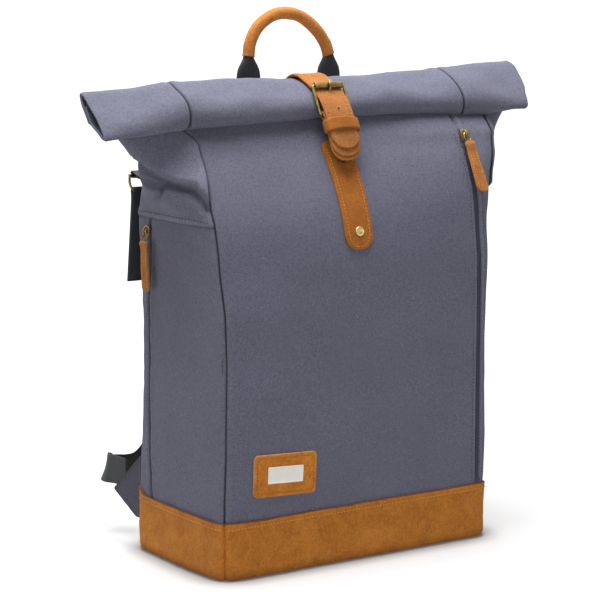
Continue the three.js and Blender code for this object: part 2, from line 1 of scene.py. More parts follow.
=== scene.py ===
"""A roll-top travel backpack: canvas body and roll, suede band, strap, handle and zip pulls.

Everything is worked out in millimetres and turned into metres where a mesh is made.
+Z is up, the front faces -Y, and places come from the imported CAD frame.
"""

import math

import bpy
import numpy as np
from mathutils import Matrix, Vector, noise
from mathutils.bvhtree import BVHTree


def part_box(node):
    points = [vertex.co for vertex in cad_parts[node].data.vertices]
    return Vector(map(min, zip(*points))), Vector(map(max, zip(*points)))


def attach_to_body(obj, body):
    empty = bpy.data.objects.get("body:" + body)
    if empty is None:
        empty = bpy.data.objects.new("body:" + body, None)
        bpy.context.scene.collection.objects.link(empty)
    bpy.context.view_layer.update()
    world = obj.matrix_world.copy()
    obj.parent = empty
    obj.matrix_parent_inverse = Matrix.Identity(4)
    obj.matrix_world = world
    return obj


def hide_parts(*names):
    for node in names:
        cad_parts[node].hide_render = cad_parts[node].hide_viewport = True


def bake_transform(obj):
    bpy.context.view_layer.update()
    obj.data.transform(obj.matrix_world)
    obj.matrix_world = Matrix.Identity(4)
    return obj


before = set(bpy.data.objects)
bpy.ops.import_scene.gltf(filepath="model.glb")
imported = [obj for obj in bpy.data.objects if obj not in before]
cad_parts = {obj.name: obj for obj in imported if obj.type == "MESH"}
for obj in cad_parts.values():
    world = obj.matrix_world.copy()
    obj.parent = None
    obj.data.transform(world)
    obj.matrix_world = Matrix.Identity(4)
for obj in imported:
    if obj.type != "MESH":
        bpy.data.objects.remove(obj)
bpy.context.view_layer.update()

MM = 0.001
FAR_OFF = 400                    # well clear of the bag, in millimetres
SIDES = (("left", -1), ("right", 1))


# ---------------------------------------------------------------- numbers from the frame

def cad(node):
    """Lowest and highest corner of a CAD node, in millimetres."""
    return [np.array(corner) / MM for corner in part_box(node)]


def face_of(node, heights, side, x=50.0):
    """The Y of a CAD node's outer face at each height, seen from the front (-1) or the back (1)."""
    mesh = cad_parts[node].data
    tree = BVHTree.FromPolygons([v.co for v in mesh.vertices], [tuple(p.vertices) for p in mesh.polygons])
    rays = [tree.ray_cast(Vector((x, side * FAR_OFF, z)) * MM, Vector((0, -side, 0))) for z in heights]
    return np.array([hit[0].y / MM for hit in rays])


HALF_WIDTH = cad("front_panel")[1][0]
FOOT_Z = cad("front_panel")[0][2]
COLLAR_TOP = cad("front_panel")[1][2]
SEAM_Z = cad("side_panel_left")[1][2]
BAND_TOP = cad("band_front")[1][2]
ROLL_HALF = cad("roll_top")[1][0]
FRONT_ZIP_X = sum(corner[0] for corner in cad("front_zip")) / 2
STRAP_HALF = cad("closure_strap")[1][0]
PATCH_LOW, PATCH_HIGH = cad("patch")
PLATE_LOW, PLATE_HIGH = cad("patch_plate")
CORNER_X = HALF_WIDTH + 1
SIDE_WIDTH = 158                 # of a side panel from seam to seam


# ---------------------------------------------------------------- lines and surfaces

def walk(line, shares):
    """Points at given shares of a line's length."""
    line = np.asarray(line, float)
    steps = np.linalg.norm(np.diff(line, axis=0), axis=1)
    run = np.concatenate([[0], np.cumsum(steps)])
    at = np.asarray(shares) * run[-1]
    return np.column_stack([np.interp(at, run, line[:, k]) for k in range(line.shape[1])])


def spline(points, count, closed=False):
    """Evenly spaced points on a smooth curve through the given ones."""
    p = np.array(points, float)
    if closed:
        ext = np.vstack([p[-1], p, p[0], p[1]])
    else:
        ext = np.vstack([2 * p[0] - p[1], p, 2 * p[-1] - p[-2]])
    t = np.linspace(0, 1, 20, endpoint=False)[:, None]
    parts = []
    for a, b, c, d in zip(ext, ext[1:], ext[2:], ext[3:]):
        parts.append(0.5 * (2 * b + (c - a) * t + (2 * a - 5 * b + 4 * c - d) * t ** 2
                            + (3 * b - a - 3 * c + d) * t ** 3))
    return walk(np.vstack(parts + [ext[-2][None]]), np.linspace(0, 1, count, endpoint=not closed))


def length_of(line):
    return float(np.linalg.norm(np.diff(np.asarray(line), axis=0), axis=1).sum())


def tangents(line, closed=False):
    line = np.asarray(line, float)
    if closed:
        along = np.roll(line, -1, 0) - np.roll(line, 1, 0)
    else:
        along = np.gradient(line, axis=0)
    return along / np.maximum(np.linalg.norm(along, axis=1, keepdims=True), 1e-9)


def unit(v):
    v = np.asarray(v, float)
    return v / np.maximum(np.linalg.norm(v, axis=-1, keepdims=True), 1e-9)


def ramp(value, low, high):
    """0 below low and 1 above high, with a smooth rise between."""
    t = np.clip((np.asarray(value, float) - low) / (high - low), 0, 1)
    return t * t * (3 - 2 * t)


def bump(value, width):
    return np.exp(-(np.asarray(value, float) / width) ** 2)


def smoothed(values, width):
    """A moving average that keeps the ends."""
    pad = np.pad(values, width, mode="edge")
    kernel = np.ones(2 * width + 1) / (2 * width + 1)
    return np.convolve(pad, kernel, mode="valid")


def grain(points, size, seed, octaves=2):
    """Smooth noise from -1 to 1 at each point, with features about size across."""
    flat = np.asarray(points).reshape(-1, 3)
    shift = Vector((seed * 17.3, seed * 5.1, seed * 9.7))
    found = [noise.fractal(Vector(p / size) + shift, 1.0, 2.0, octaves) for p in flat]
    return np.array(found).reshape(np.asarray(points).shape[:-1])


def grid_normals(points, wrap=False):
    """Normals of a grid of points, rows by columns, wrapped round its columns or open."""
    if wrap:
        across = np.roll(points, -1, 1) - np.roll(points, 1, 1)
    else:
        across = np.gradient(points, axis=1)
    return unit(np.cross(across, np.gradient(points, axis=0)))


# ---------------------------------------------------------------- meshes

def make_mesh(name, points, faces, materials, face_material=None, uv=None):
    """A smooth mesh object from points in millimetres."""
    mesh = bpy.data.meshes.new(name)
    mesh.from_pydata((np.asarray(points, float).reshape(-1, 3) * MM).tolist(), [], faces)
    for material in materials:
        mesh.materials.append(material)
    if face_material is not None:
        mesh.polygons.foreach_set("material_index", face_material)
    if uv is not None:
        layer = mesh.uv_layers.new(name="UVMap")
        corner_points = np.zeros(len(mesh.loops), int)
        mesh.loops.foreach_get("vertex_index", corner_points)
        layer.data.foreach_set("uv", (np.asarray(uv, float).reshape(-1, 2) * MM)[corner_points].ravel())
    mesh.shade_smooth()
    piece = bpy.data.objects.new(name, mesh)
    bpy.context.scene.collection.objects.link(piece)
    return piece


def places_of(piece):
    return np.array([v.co for v in piece.data.vertices]) / MM


def normals_of(piece):
    return np.array([v.normal for v in piece.data.vertices])


def move_to(piece, places):
    piece.data.vertices.foreach_set("co", (places * MM).astype(np.float32).ravel())
    piece.data.update()


def grid_faces(rows, columns, wrap_rows=False, wrap_columns=False, start=0):
    faces = []
    for r in range(rows if wrap_rows else rows - 1):
        for c in range(columns if wrap_columns else columns - 1):
            r2, c2 = (r + 1) % rows, (c + 1) % columns
            faces.append([start + r * columns + c, start + r * columns + c2,
                          start + r2 * columns + c2, start + r2 * columns + c])
    return faces


def surface_uv(points):
    """Distances along the rows and columns of a grid, for the weave."""
    across = np.linalg.norm(np.diff(points, axis=1), axis=2)
    u = np.concatenate([np.zeros((len(points), 1)), np.cumsum(across, axis=1)], axis=1)
    up = np.linalg.norm(np.diff(points, axis=0), axis=2)
    v = np.concatenate([np.zeros((1, points.shape[1])), np.cumsum(up, axis=0)], axis=0)
    return np.stack([u - u[:, -1:] / 2, v], axis=2)


def thicken(piece, thickness, offset=-1):
    """Gives a sheet a thickness, inwards unless the offset says otherwise."""
    solidify = piece.modifiers.new("thickness", "SOLIDIFY")
    solidify.thickness = thickness * MM
    solidify.offset = offset


def cloth(name, points, material, thickness, painted_light_and_tone):
    """A sheet of cloth through a grid of points. Its thickness goes inwards."""
    piece = make_mesh(name, points, grid_faces(*points.shape[:2]), [material], uv=surface_uv(points))
    layer = piece.data.attributes.new("painted_light_and_tone", "FLOAT", "POINT")
    layer.data.foreach_set("value", np.asarray(painted_light_and_tone, np.float32).ravel())
    thicken(piece, thickness)
    return piece


def tube(path, section, closed=False, up=(0, 0, 1), sizes=None):
    """Rings of a 2-D section carried along a path, as rows of points."""
    path = np.asarray(path, float)
    along = tangents(path, closed)
    side = unit(np.cross(np.broadcast_to(np.asarray(up, float), path.shape), along))
    top = np.cross(along, side)
    section = np.asarray(section, float)
    if sizes is None:
        sizes = np.ones((len(path), 2))
    sizes = np.asarray(sizes, float).reshape(len(path), -1)
    wide = sizes[:, :1, None] * section[None, :, :1] * side[:, None, :]
    tall = sizes[:, -1:, None] * section[None, :, 1:] * top[:, None, :]
    return path[:, None, :] + wide + tall


def place_section(centre, section, side, top):
    """A flat section's points, set up at a place in space."""
    return centre + section[:, :1] * side + section[:, 1:] * top


def ring_faces(rows, columns, closed=False, start=0):
    """Faces of a tube, capped at its ends unless it closes on itself."""
    faces = grid_faces(rows, columns, wrap_rows=closed, wrap_columns=True, start=start)
    if not closed:
        faces.append([start + c for c in reversed(range(columns))])
        faces.append([start + (rows - 1) * columns + c for c in range(columns)])
    return faces


def circle(radius, sides, squash=1.0):
    angle = np.linspace(0, 2 * math.pi, sides, endpoint=False)
    return np.column_stack([radius * np.cos(angle), radius * squash * np.sin(angle)])


def strap_section(half, thick, sides=6):
    """A flat strap's section, half wide and thick through, with round edges."""
    r = thick / 2
    turn = np.linspace(-math.pi / 2, math.pi / 2, sides)
    right = np.column_stack([half - r + r * np.cos(turn), r * np.sin(turn)])
    middle = np.column_stack([np.linspace(half - r, r - half, 9)[1:-1], np.full(7, r)])
    left = np.column_stack([r - half - r * np.cos(turn[::-1]), r * np.sin(turn[::-1])])
    return np.vstack([right, middle, left, middle[::-1] * [1, -1]])


def rod(name, path, section, material, closed=False, up=(0, 0, 1), sizes=None):
    rings = tube(path, section, closed, up, sizes)
    return make_mesh(name, rings, ring_faces(*rings.shape[:2], closed=closed), [material])


def loft(name, rings, material):
    """A skin through rings of points, capped at both ends."""
    rings = np.array(rings)
    return make_mesh(name, rings, ring_faces(*rings.shape[:2]), [material])


def round_ends(distances, total, half, first=0.0, last=0.0):
    """Half widths along a strap whose first and last stretches narrow into round ends."""
    width = np.full(len(distances), half)
    for reach, gap in ((first, distances), (last, total - distances)):
        if reach:
            inside = np.clip(1 - gap / reach, 0, 1)
            width = np.minimum(width, half * (1 - inside ** 2.4) ** (1 / 2.4))
    return np.maximum(width, half * 0.04)


def end_shares(total, first, last, step):
    """Shares of a strap's length, packed closer where its ends are round."""
    count = max(int(total / step), 8)
    shares = [np.linspace(0, 1, count)]
    close = (1 - np.cos(np.linspace(0, math.pi / 2, 12))) / total
    if first:
        shares.append(close * first)
    if last:
        shares.append(1 - close * last)
    return np.unique(np.concatenate(shares).round(6))


def strap(name, line, across, half, thick, material, first=0.0, last=0.0, step=2.5):
    """A flat strap along a line. across gives the direction of its width."""
    total = length_of(line)
    shares = end_shares(total, first, last, step)
    path = walk(line, shares)
    side = unit(np.broadcast_to(np.asarray(across, float), path.shape))
    out = unit(np.cross(tangents(path), side))
    width = np.maximum(round_ends(shares * total, total, half, first, last), thick / 2 + 0.05)
    rings = [place_section(c, strap_section(w, thick), s, o) for c, s, o, w in zip(path, side, out, width)]
    return loft(name, rings, material)


class Skin:
    """Finds the surface of a piece, so that stitches and trim can lie on it."""

    def __init__(self, piece):
        self.tree = BVHTree.FromObject(piece, bpy.context.evaluated_depsgraph_get())

    def hit(self, start, direction):
        """Where a ray first meets the surface, or None."""
        found = self.tree.ray_cast(Vector(start) * MM, Vector(direction))[0]
        return None if found is None else np.array(found) / MM

    def settle(self, points, lift=0.0, outwards=None):
        """The nearest surface points and their normals."""
        spots, normals = [], []
        for p in np.asarray(points, float).reshape(-1, 3):
            spot, normal = self.tree.find_nearest(Vector(p) * MM)[:2]
            normal = np.array(normal)
            if outwards is not None and normal @ np.asarray(outwards) < 0:
                normal = -normal
            spots.append(np.array(spot) / MM + normal * lift)
            normals.append(normal)
        return np.array(spots), np.array(normals)


def stitches(name, line, normals, material, pitch=3.2, radius=0.35, fill=0.62):
    """A row of separate thread stitches along a line on a surface."""
    sides = 6
    profile = ((0, 0.35, -0.5), (0.22, 0.95, 0.25), (0.78, 0.95, 0.25), (1, 0.35, -0.5))
    count = max(int(length_of(line) / pitch), 1)
    starts = np.arange(count) / count
    ends = starts + fill / count
    tops = unit(walk(normals, (starts + ends) / 2))
    points, faces = [], []
    for head, tail, top in zip(walk(line, starts), walk(line, ends), tops):
        side = unit(np.cross(unit(tail - head), top))
        start = len(points)
        for share, size, sink in profile:
            centre = head + (tail - head) * share + top * radius * sink
            for a in np.arange(sides) * 2 * math.pi / sides:
                points.append(centre + radius * size * (math.cos(a) * side + math.sin(a) * top))
        faces += ring_faces(len(profile), sides, start=start)
    return make_mesh(name, points, faces, [material])


def attach(piece, body, slot=None, *nodes):
    """Rides a piece on its body and hides the CAD nodes that it stands for."""
    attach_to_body(piece, body)
    return finish_piece(piece, slot, *nodes)


def finish_piece(piece, slot=None, *nodes):
    if nodes:
        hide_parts(*nodes)
    return piece


def sew(name, skin, row, body, material, slot, pitch=3.2, radius=0.35, fill=0.62, lift=0.1, outwards=None):
    """Lays a row of points onto a surface and sews stitches along it."""
    spots, normals = skin.settle(row, lift, outwards)
    thread = stitches(name, spots, normals, material, pitch, radius, fill)
    return attach(thread, body, slot) if body else finish_piece(thread, slot)


# ---------------------------------------------------------------- materials

def add_node(tree, kind, inputs=None, **settings):
    """Adds a shader node. Each of its inputs is given a value, or a socket to join it to."""
    node = tree.nodes.new(kind)
    for key, value in settings.items():
        setattr(node, key, value)
    for key, value in (inputs or {}).items():
        if isinstance(value, bpy.types.NodeSocket):
            tree.links.new(value, node.inputs[key])
        else:
            node.inputs[key].default_value = value
    return node


class Shader:
    """A small helper for building a node material."""

    def __init__(self, name, roughness, metallic=0.0):
        self.material = bpy.data.materials.new(name)
        self.material.use_nodes = True
        self.tree = self.material.node_tree
        self.surface = self.tree.nodes["Principled BSDF"].inputs
        self.surface["Roughness"].default_value = roughness
        self.surface["Metallic"].default_value = metallic
        self.place = self.add("ShaderNodeTexCoord").outputs

    def join(self, source, target):
        self.tree.links.new(source, target)

    def add(self, kind, inputs=None, **settings):
        return add_node(self.tree, kind, inputs, **settings)

    def noise(self, scale, detail=3.0, rough=0.55, distortion=0.0):
        inputs = {"Scale": scale, "Detail": detail, "Roughness": rough, "Distortion": distortion,
                  "Vector": self.place["Object"]}
        return self.add("ShaderNodeTexNoise", inputs).outputs["Fac"]

    def bands(self, pitch, direction, coordinates, distortion=0.0):
        """Sine bands one pitch apart, in metres."""
        inputs = {"Scale": 2 * math.pi / (20 * pitch), "Distortion": distortion,
                  "Vector": self.place[coordinates]}
        return self.add("ShaderNodeTexWave", inputs, bands_direction=direction).outputs["Fac"]

    def math(self, operation, *values):
        return self.add("ShaderNodeMath", dict(enumerate(values)), operation=operation).outputs["Value"]

    def remap(self, value, **limits):
        """A Map Range node, with limits such as To_Min."""
        inputs = {key.replace("_", " "): number for key, number in limits.items()}
        return self.add("ShaderNodeMapRange", {**inputs, "Value": value}).outputs["Result"]

    def spread(self, value, low, high):
        """Maps 0.3-0.7 of a noise onto low-high, clamped."""
        return self.remap(value, From_Min=0.3, From_Max=0.7, To_Min=low, To_Max=high)

    def mix(self, factor, a, b, blend="MIX"):
        a, b = ((*value, 1) if isinstance(value, tuple) else value for value in (a, b))
        inputs = {"Factor": factor, "A": a, "B": b}
        return self.add("ShaderNodeMix", inputs, data_type="RGBA", blend_type=blend).outputs["Result"]

    def tinted(self, colour, tone):
        """A colour multiplied by a grey tone."""
        grey = self.add("ShaderNodeCombineColor", dict.fromkeys(("Red", "Green", "Blue"), tone))
        return self.mix(1.0, colour, grey.outputs["Color"], "MULTIPLY")

    def colour(self, value):
        self.join(value, self.surface["Base Color"])

    def relief(self, height, distance, strength):
        inputs = {"Distance": distance, "Strength": strength, "Height": height}
        self.join(self.add("ShaderNodeBump", inputs).outputs["Normal"], self.surface["Normal"])

    def sheen(self, weight, roughness, tint):
        self.surface["Sheen Weight"].default_value = weight
        self.surface["Sheen Roughness"].default_value = roughness
        self.surface["Sheen Tint"].default_value = (*tint, 1)


def linear(red, green, blue):
    """A colour given as 0-255 in sRGB, in the linear values that shaders take."""
    def channel(value):
        value /= 255
        return value / 12.92 if value <= 0.04045 else ((value + 0.055) / 1.055) ** 2.4
    return channel(red), channel(green), channel(blue)


def scaled(colour, factor, shift=0.0):
    """A colour made lighter or darker, at most white."""
    return tuple(min(c * factor + shift, 1) for c in colour)


CANVAS_PITCH = 0.0009            # of the weave and the ribs, in metres
WEBBING_PITCH = 0.0013


def canvas_material(name, colour, contrast=0.3, coordinates="UV"):
    """Plain-woven cotton canvas with flecks in the yarn.

    A point attribute on the mesh makes it lighter where above 0 (painted highlight along zip lips, seam
    edges and fold ridges, and paler roll ends) and much darker where below 0 (painted shade in the seams).
    """
    s = Shader(name, 0.92)
    warp = s.bands(CANVAS_PITCH, "X", coordinates, 0.4)
    weft = s.bands(CANVAS_PITCH, "Y" if coordinates == "UV" else "Z", coordinates, 0.4)
    over = s.math("MULTIPLY", warp, weft)
    fleck = s.spread(s.noise(900, 2, 0.7), 1 - contrast, 1 + contrast)
    cloud = s.spread(s.noise(14, 3), 0.95, 1.05)
    slub = s.spread(s.noise(340, 3, 0.7), 0.88, 1.12)
    yarn = s.math("MULTIPLY_ADD", over, 0.16, 0.92)
    shade = s.math("MULTIPLY", s.math("MULTIPLY", fleck, cloud), s.math("MULTIPLY", slub, yarn))
    light_and_tone_marks = s.add("ShaderNodeAttribute", attribute_name="painted_light_and_tone").outputs["Fac"]
    # Lighter where the attribute is above 0: painted highlight.
    lightening = s.math("MULTIPLY", s.math("MAXIMUM", light_and_tone_marks, 0.0), 0.45)
    lightened = s.mix(lightening, colour, scaled(colour, 1.5, 0.02))
    # Much darker where it is below 0: painted shade in the seam grooves.
    seam = s.math("MINIMUM", s.math("MAXIMUM", s.math("MULTIPLY", light_and_tone_marks, -1.0), 0.0), 0.9)
    s.colour(s.tinted(s.mix(seam, lightened, scaled(colour, 0.12)), shade))
    s.relief(s.math("ADD", s.math("MULTIPLY", over, 0.7), s.noise(1400, 2)), 0.00022, 0.6)
    s.sheen(0.06, 0.5, (0.8, 0.8, 0.95))
    return s.material


def suede_material(name, deep, light, nap=0.5):
    """Suede: a short nap brushed lighter and darker in patches, with fine grain."""
    s = Shader(name, 0.95)
    brushed = s.noise(45, 5, 0.65, distortion=0.6)
    fine = s.noise(420, 4, 0.7)
    mottle = s.math("ADD", s.math("MULTIPLY", brushed, 1 - nap), s.math("MULTIPLY", fine, nap))
    shades = s.add("ShaderNodeValToRGB", {"Fac": mottle})
    for stop, place, colour in zip(shades.color_ramp.elements, (0.36, 0.66), (deep, light)):
        stop.position = place
        stop.color = (*colour, 1)
    pits = s.math("GREATER_THAN", s.noise(700, 1), 0.66)
    s.colour(s.mix(s.math("MULTIPLY", pits, 0.35), shades.outputs["Color"], deep))
    s.relief(s.math("ADD", s.noise(1500, 3, 0.7), s.math("MULTIPLY", s.noise(240, 3), 0.8)), 0.0004, 0.7)
    s.sheen(0.12, 0.6, (1.0, 0.7, 0.4))
    return s.material


def webbing_material(name, colour):
    """Ribbed webbing: diagonal twill ribs with a dull sheen."""
    s = Shader(name, 0.75)
    ribs = s.bands(WEBBING_PITCH, "DIAGONAL", "Object", 0.3)
    dust = s.spread(s.noise(300, 3), 0.85, 1.25)
    tone = s.math("MULTIPLY", s.math("MULTIPLY_ADD", ribs, 0.3, 0.85), dust)
    s.colour(s.tinted(colour, tone))
    s.relief(ribs, 0.00015, 0.6)
    s.sheen(0.1, 0.4, (0.8, 0.9, 0.9))
    return s.material


def metal_material(name, bright, dull, roughness, wear_scale=160, metallic=1.0):
    """Cast metal, tarnished in patches, with fine handling scratches."""
    s = Shader(name, roughness, metallic)
    tarnish = s.spread(s.noise(wear_scale, 4, 0.6), 0, 1)
    s.colour(s.mix(tarnish, bright, dull))
    s.join(s.remap(tarnish, To_Min=roughness - 0.08, To_Max=roughness + 0.18), s.surface["Roughness"])
    s.relief(s.noise(1200, 2), 0.00005, 0.5)
    return s.material


def thread_material(name, colour):
    s = Shader(name, 0.7)
    twist = s.bands(0.0006, "DIAGONAL", "Object")
    s.colour(s.mix(twist, scaled(colour, 0.75), colour))
    s.relief(twist, 0.0001, 0.6)
    return s.material


def plastic_material(name, colour):
    s = Shader(name, 0.45)
    s.colour(s.mix(s.spread(s.noise(500, 2), 0, 1), colour, scaled(colour, 1.25, 0.004)))
    s.relief(s.noise(1500, 2), 0.00004, 0.5)
    return s.material


def mesh_fabric_material(name, colour):
    """Spacer mesh: small round holes in rows, painted darker as shade in the holes."""
    s = Shader(name, 0.9)
    cells = s.add("ShaderNodeTexVoronoi", {"Scale": 420, "Randomness": 0.25, "Vector": s.place["Object"]})
    hole = s.math("LESS_THAN", cells.outputs["Distance"], 0.28)
    # The holes are painted shade, not openings.
    s.colour(s.mix(hole, colour, scaled(colour, 0.3)))
    s.relief(cells.outputs["Distance"], 0.0006, 0.8)
    return s.material


CANVAS_COLOUR = linear(112, 112, 130)
CANVAS = canvas_material("canvas", CANVAS_COLOUR)
CANVAS_CLOUD = canvas_material("canvas_padded", CANVAS_COLOUR, coordinates="Object")
# A darker copy of the canvas: painted shade for the wings, which sit back in shade.
CANVAS_PAINTED_SHADE = canvas_material("canvas_wing", linear(82, 81, 94), coordinates="Object")
SUEDE = suede_material("suede", linear(176, 100, 24), linear(226, 146, 52))
SUEDE_PATCH = suede_material("suede_patch", linear(190, 108, 26), linear(242, 158, 56))
# A darker copy of the suede: painted shade for the lower strap and keeper, which sit in the roll's shade.
SUEDE_PAINTED_SHADE = suede_material("suede_painted_shade", linear(150, 82, 16), linear(196, 118, 34))
SUEDE_STRAP = suede_material("suede_strap", linear(162, 94, 38), linear(198, 132, 68), 0.6)
SUEDE_HANDLE = suede_material("suede_handle", linear(194, 114, 44), linear(234, 156, 80), 0.6)
SUEDE_CUT = suede_material("suede_cut", linear(112, 58, 20), linear(146, 84, 36), 0.7)
THREAD_TAN = thread_material("thread_tan", linear(238, 168, 84))
THREAD_GREY = thread_material("thread_grey", linear(96, 95, 112))
THREAD_DARK = thread_material("thread_dark", linear(60, 60, 70))
THREAD_BROWN = thread_material("thread_brown", linear(150, 88, 40))
WEBBING = webbing_material("webbing", linear(54, 56, 59))
WEBBING_BLACK = webbing_material("webbing_black", linear(44, 45, 50))
ZIP = plastic_material("zip_navy", linear(38, 38, 62))
BRASS = metal_material("antique_brass", linear(176, 154, 98), linear(104, 86, 50), 0.3)
# A lighter copy of the brass for the rivet cap: painted highlight.
BRASS_LIT_COPY = metal_material("brass_lit_copy", linear(224, 206, 144), linear(184, 164, 100), 0.26)
STEEL = metal_material("plate_metal", linear(252, 248, 240), linear(244, 239, 230), 0.38, 60, 0.5)
PLASTIC = plastic_material("black_plastic", linear(30, 30, 33))
LINING = canvas_material("lining_cotton", linear(150, 148, 144), 0.08)
PAD_MESH = mesh_fabric_material("spacer_mesh", linear(58, 60, 66))
# Painted shade: a dark disc stands for the inside of a punched hole.
HOLE_SHADE = plastic_material("hole_with_painted_shade", linear(40, 22, 12))


# ---------------------------------------------------------------- the body's outline at each height

HEIGHTS = np.linspace(FOOT_Z + 1, COLLAR_TOP - 1, 120)
FRONT_FACE = smoothed(face_of("front_panel", HEIGHTS, -1), 4)
BACK_FACE = smoothed(face_of("back_panel", HEIGHTS, 1), 4)
NECK_Z = 426                     # the canvas goes on up inside the roll to here

# Half width of the sides at some heights: waisted in the middle and spread at the base and seam.
SIDE_REACH = [(45, 157), (62, 158), (113, 155.5), (200, 154), (250, 155.5), (SEAM_Z, 159)]
# How far the fold in the middle of each gusset stands out.
GUSSET_REACH = [(SEAM_Z, 162), (345, 177), (360, 189), (373, 195), (386, 198), (397, 205.5), (404, 212.5),
                (NECK_Z, 236)]
# How far the front's right corner flares out below the roll.
FLARE = [(322, 0), (340, 2.5), (351, 4.5), (364, 8), (386, 15.5), (400, 20), (NECK_Z, 20)]


def at_height(z, table):
    return float(np.interp(z, [row[0] for row in table], [row[1] for row in table]))


def front_y(z):
    if z <= HEIGHTS[-1]:
        return float(np.interp(z, HEIGHTS, FRONT_FACE))
    return FRONT_FACE[-1] + 0.62 * (z - HEIGHTS[-1])


def back_y(z):
    if z <= HEIGHTS[-1]:
        return float(np.interp(z, HEIGHTS, BACK_FACE))
    return BACK_FACE[-1] - 0.4 * (z - HEIGHTS[-1])


def corners(z):
    """Front left, front right, right fold, back right, back left and left fold, and their rounding."""
    front, back = front_y(z), back_y(z)
    left_back = 5 * ramp(z, 240, 290)
    left_in = 7.5 * ramp(z, 335, 392) - 12 * ramp(z, 402, 420)
    right_out = 15 * ramp(z, 300, 392) * (1 - 0.75 * ramp(z, 400, NECK_Z))
    spread = at_height(z, FLARE)
    middle = (front + back) / 2
    reach = at_height(z, SIDE_REACH)
    fold = reach + max(at_height(z, GUSSET_REACH) - reach, 0) * ramp(z, SEAM_Z - 50, SEAM_Z)
    right_fold = reach + (fold - reach) * (0.2 + 0.85 * ramp(z, 352, 384))
    wall = reach - 2.5
    right_wall = wall + 4.5 * ramp(z, 30, 110)
    points = np.array([
        (left_in - min(wall, CORNER_X), front + left_back), (right_wall + spread, front - right_out),
        (right_fold + 0.2 * spread + right_wall - wall, middle), (right_wall, back), (-wall, back),
        (-fold, middle)])
    folded = ramp(z, SEAM_Z, 385)
    apex = np.linalg.norm(points[5] - points[0]) * (0.46 - 0.3 * folded)
    return points, [13 - 4 * folded, 13, apex, 16 - 5 * folded, 16 - 5 * folded, apex]


def ring(z, grow=0.0):
    """The outline at a height, anticlockwise from above, and where its four corner seams are.

    The front's right seam lies further round its corner than the others.
    """
    points, reaches = corners(z)
    t = np.linspace(0, 1, 17)[:, None]
    line, seams = [], []
    for i, reach in enumerate(reaches):
        before = unit(points[i - 1] - points[i])
        after = unit(points[(i + 1) % 6] - points[i])
        bend = ((1 - t) ** 2 * (points[i] + before * reach) + 2 * t * (1 - t) * points[i]
                + t ** 2 * (points[i] + after * reach))
        seams.append(len(line) + (13 if i == 1 else 8))
        line.extend(bend)
    line = np.array(line)
    centre_shift = front_y(z) - (points[0][1] + points[1][1]) / 2
    if grow:
        along = tangents(line, closed=True)
        line = line + grow * np.column_stack([along[:, 1], -along[:, 0]])
    return line, seams, centre_shift


PANELS = {"front": (0, 1), "right": (1, 3), "back": (3, 4), "left": (4, 0)}


def panel_row(panel, z, shares, grow=0.0):
    """Points across one panel at a height, at the given shares of its width."""
    line, seams, centre_shift = ring(z, grow)
    start, end = (seams[k] for k in PANELS[panel])
    if end < start:
        part = np.vstack([line[start:], line[:end + 1]])
    else:
        part = line[start:end + 1]
    row = walk(part, shares)
    if panel == "front":
        row[:, 1] += centre_shift * (1 - np.abs(row[:, 0] / CORNER_X).clip(0, 1) ** 1.5)
    return np.column_stack([row, np.full(len(row), z)])


def panel_grid(panel, heights, shares, grow=0.0):
    return np.array([panel_row(panel, z, shares, grow) for z in heights])


def seam_shares(width, step, dense=()):
    """Column places across a panel: even, closer at its two seams, and dense where asked."""
    near = np.array([0, 0.7, 1.5, 2.6, 4.2, 6.5]) / width
    parts = [np.linspace(0, 1, int(width / step)), near, 1 - near]
    for low, high, fine in dense:
        parts.append(np.arange(low, high, fine) / width)
    return np.unique(np.concatenate(parts).round(5))


def edge_distance(points):
    """Distance of each point of a panel grid from the seams at its two sides."""
    u = surface_uv(points)[..., 0]
    return np.minimum(u - u[:, :1], u[:, -1:] - u)


def painted_seam_shade(points):
    """Painted shade in the two side seams of a panel: a negative value, which makes them dark."""
    return -1.3 * bump(edge_distance(points), 0.75)


def tuck(points):
    """How far the cloth rolls in at the seams, with a slight puffed rise beside them."""
    d = edge_distance(points)
    return -1.6 * bump(d, 1.2) + 0.5 * bump(d - 5, 3.5)


def raise_by(points, height):
    return points + grid_normals(points) * np.asarray(height)[..., None]


def fold_height(along, over, line, near, far, lift, fade=14):
    """A fold in cloth: a ridge along a line, steep on one side and easing off on the other."""
    line = np.asarray(line, float)
    flat = np.column_stack([along.ravel(), over.ravel()])
    nearest = np.full(len(flat), np.inf)
    signed = np.zeros(len(flat))
    run = np.zeros(len(flat))
    done = 0.0
    for a, b in zip(line, line[1:]):
        d = b - a
        size = np.linalg.norm(d)
        t = np.clip(((flat - a) @ d) / size ** 2, 0, 1)
        gap = flat - (a + t[:, None] * d)
        distance = np.linalg.norm(gap, axis=1)
        side = np.sign(d[0] * gap[:, 1] - d[1] * gap[:, 0])
        closer = distance < nearest
        nearest[closer] = distance[closer]
        signed[closer] = (distance * side)[closer]
        run[closer] = (done + t * size)[closer]
        done += size
    ends = ramp(run, 0, fade) * ramp(done - run, 0, fade)
    ridge = np.where(signed > 0, np.exp(-np.abs(signed) / far), bump(signed, near))
    hollow = bump(signed + 1.9 * near, 1.3 * near)
    return (lift * ends * (ridge - 0.75 * hollow)).reshape(along.shape)


# ---------------------------------------------------------------- zips in the canvas

SIDE_ZIP_RADIUS = 645
SIDE_ZIP_CENTRE = (-586.5, 175)
ZIP_GAP = 3.0                    # half the width of the slot between the canvas lips


def side_zip_y(z):
    return SIDE_ZIP_CENTRE[0] + np.sqrt(SIDE_ZIP_RADIUS ** 2 - (z - SIDE_ZIP_CENTRE[1]) ** 2)


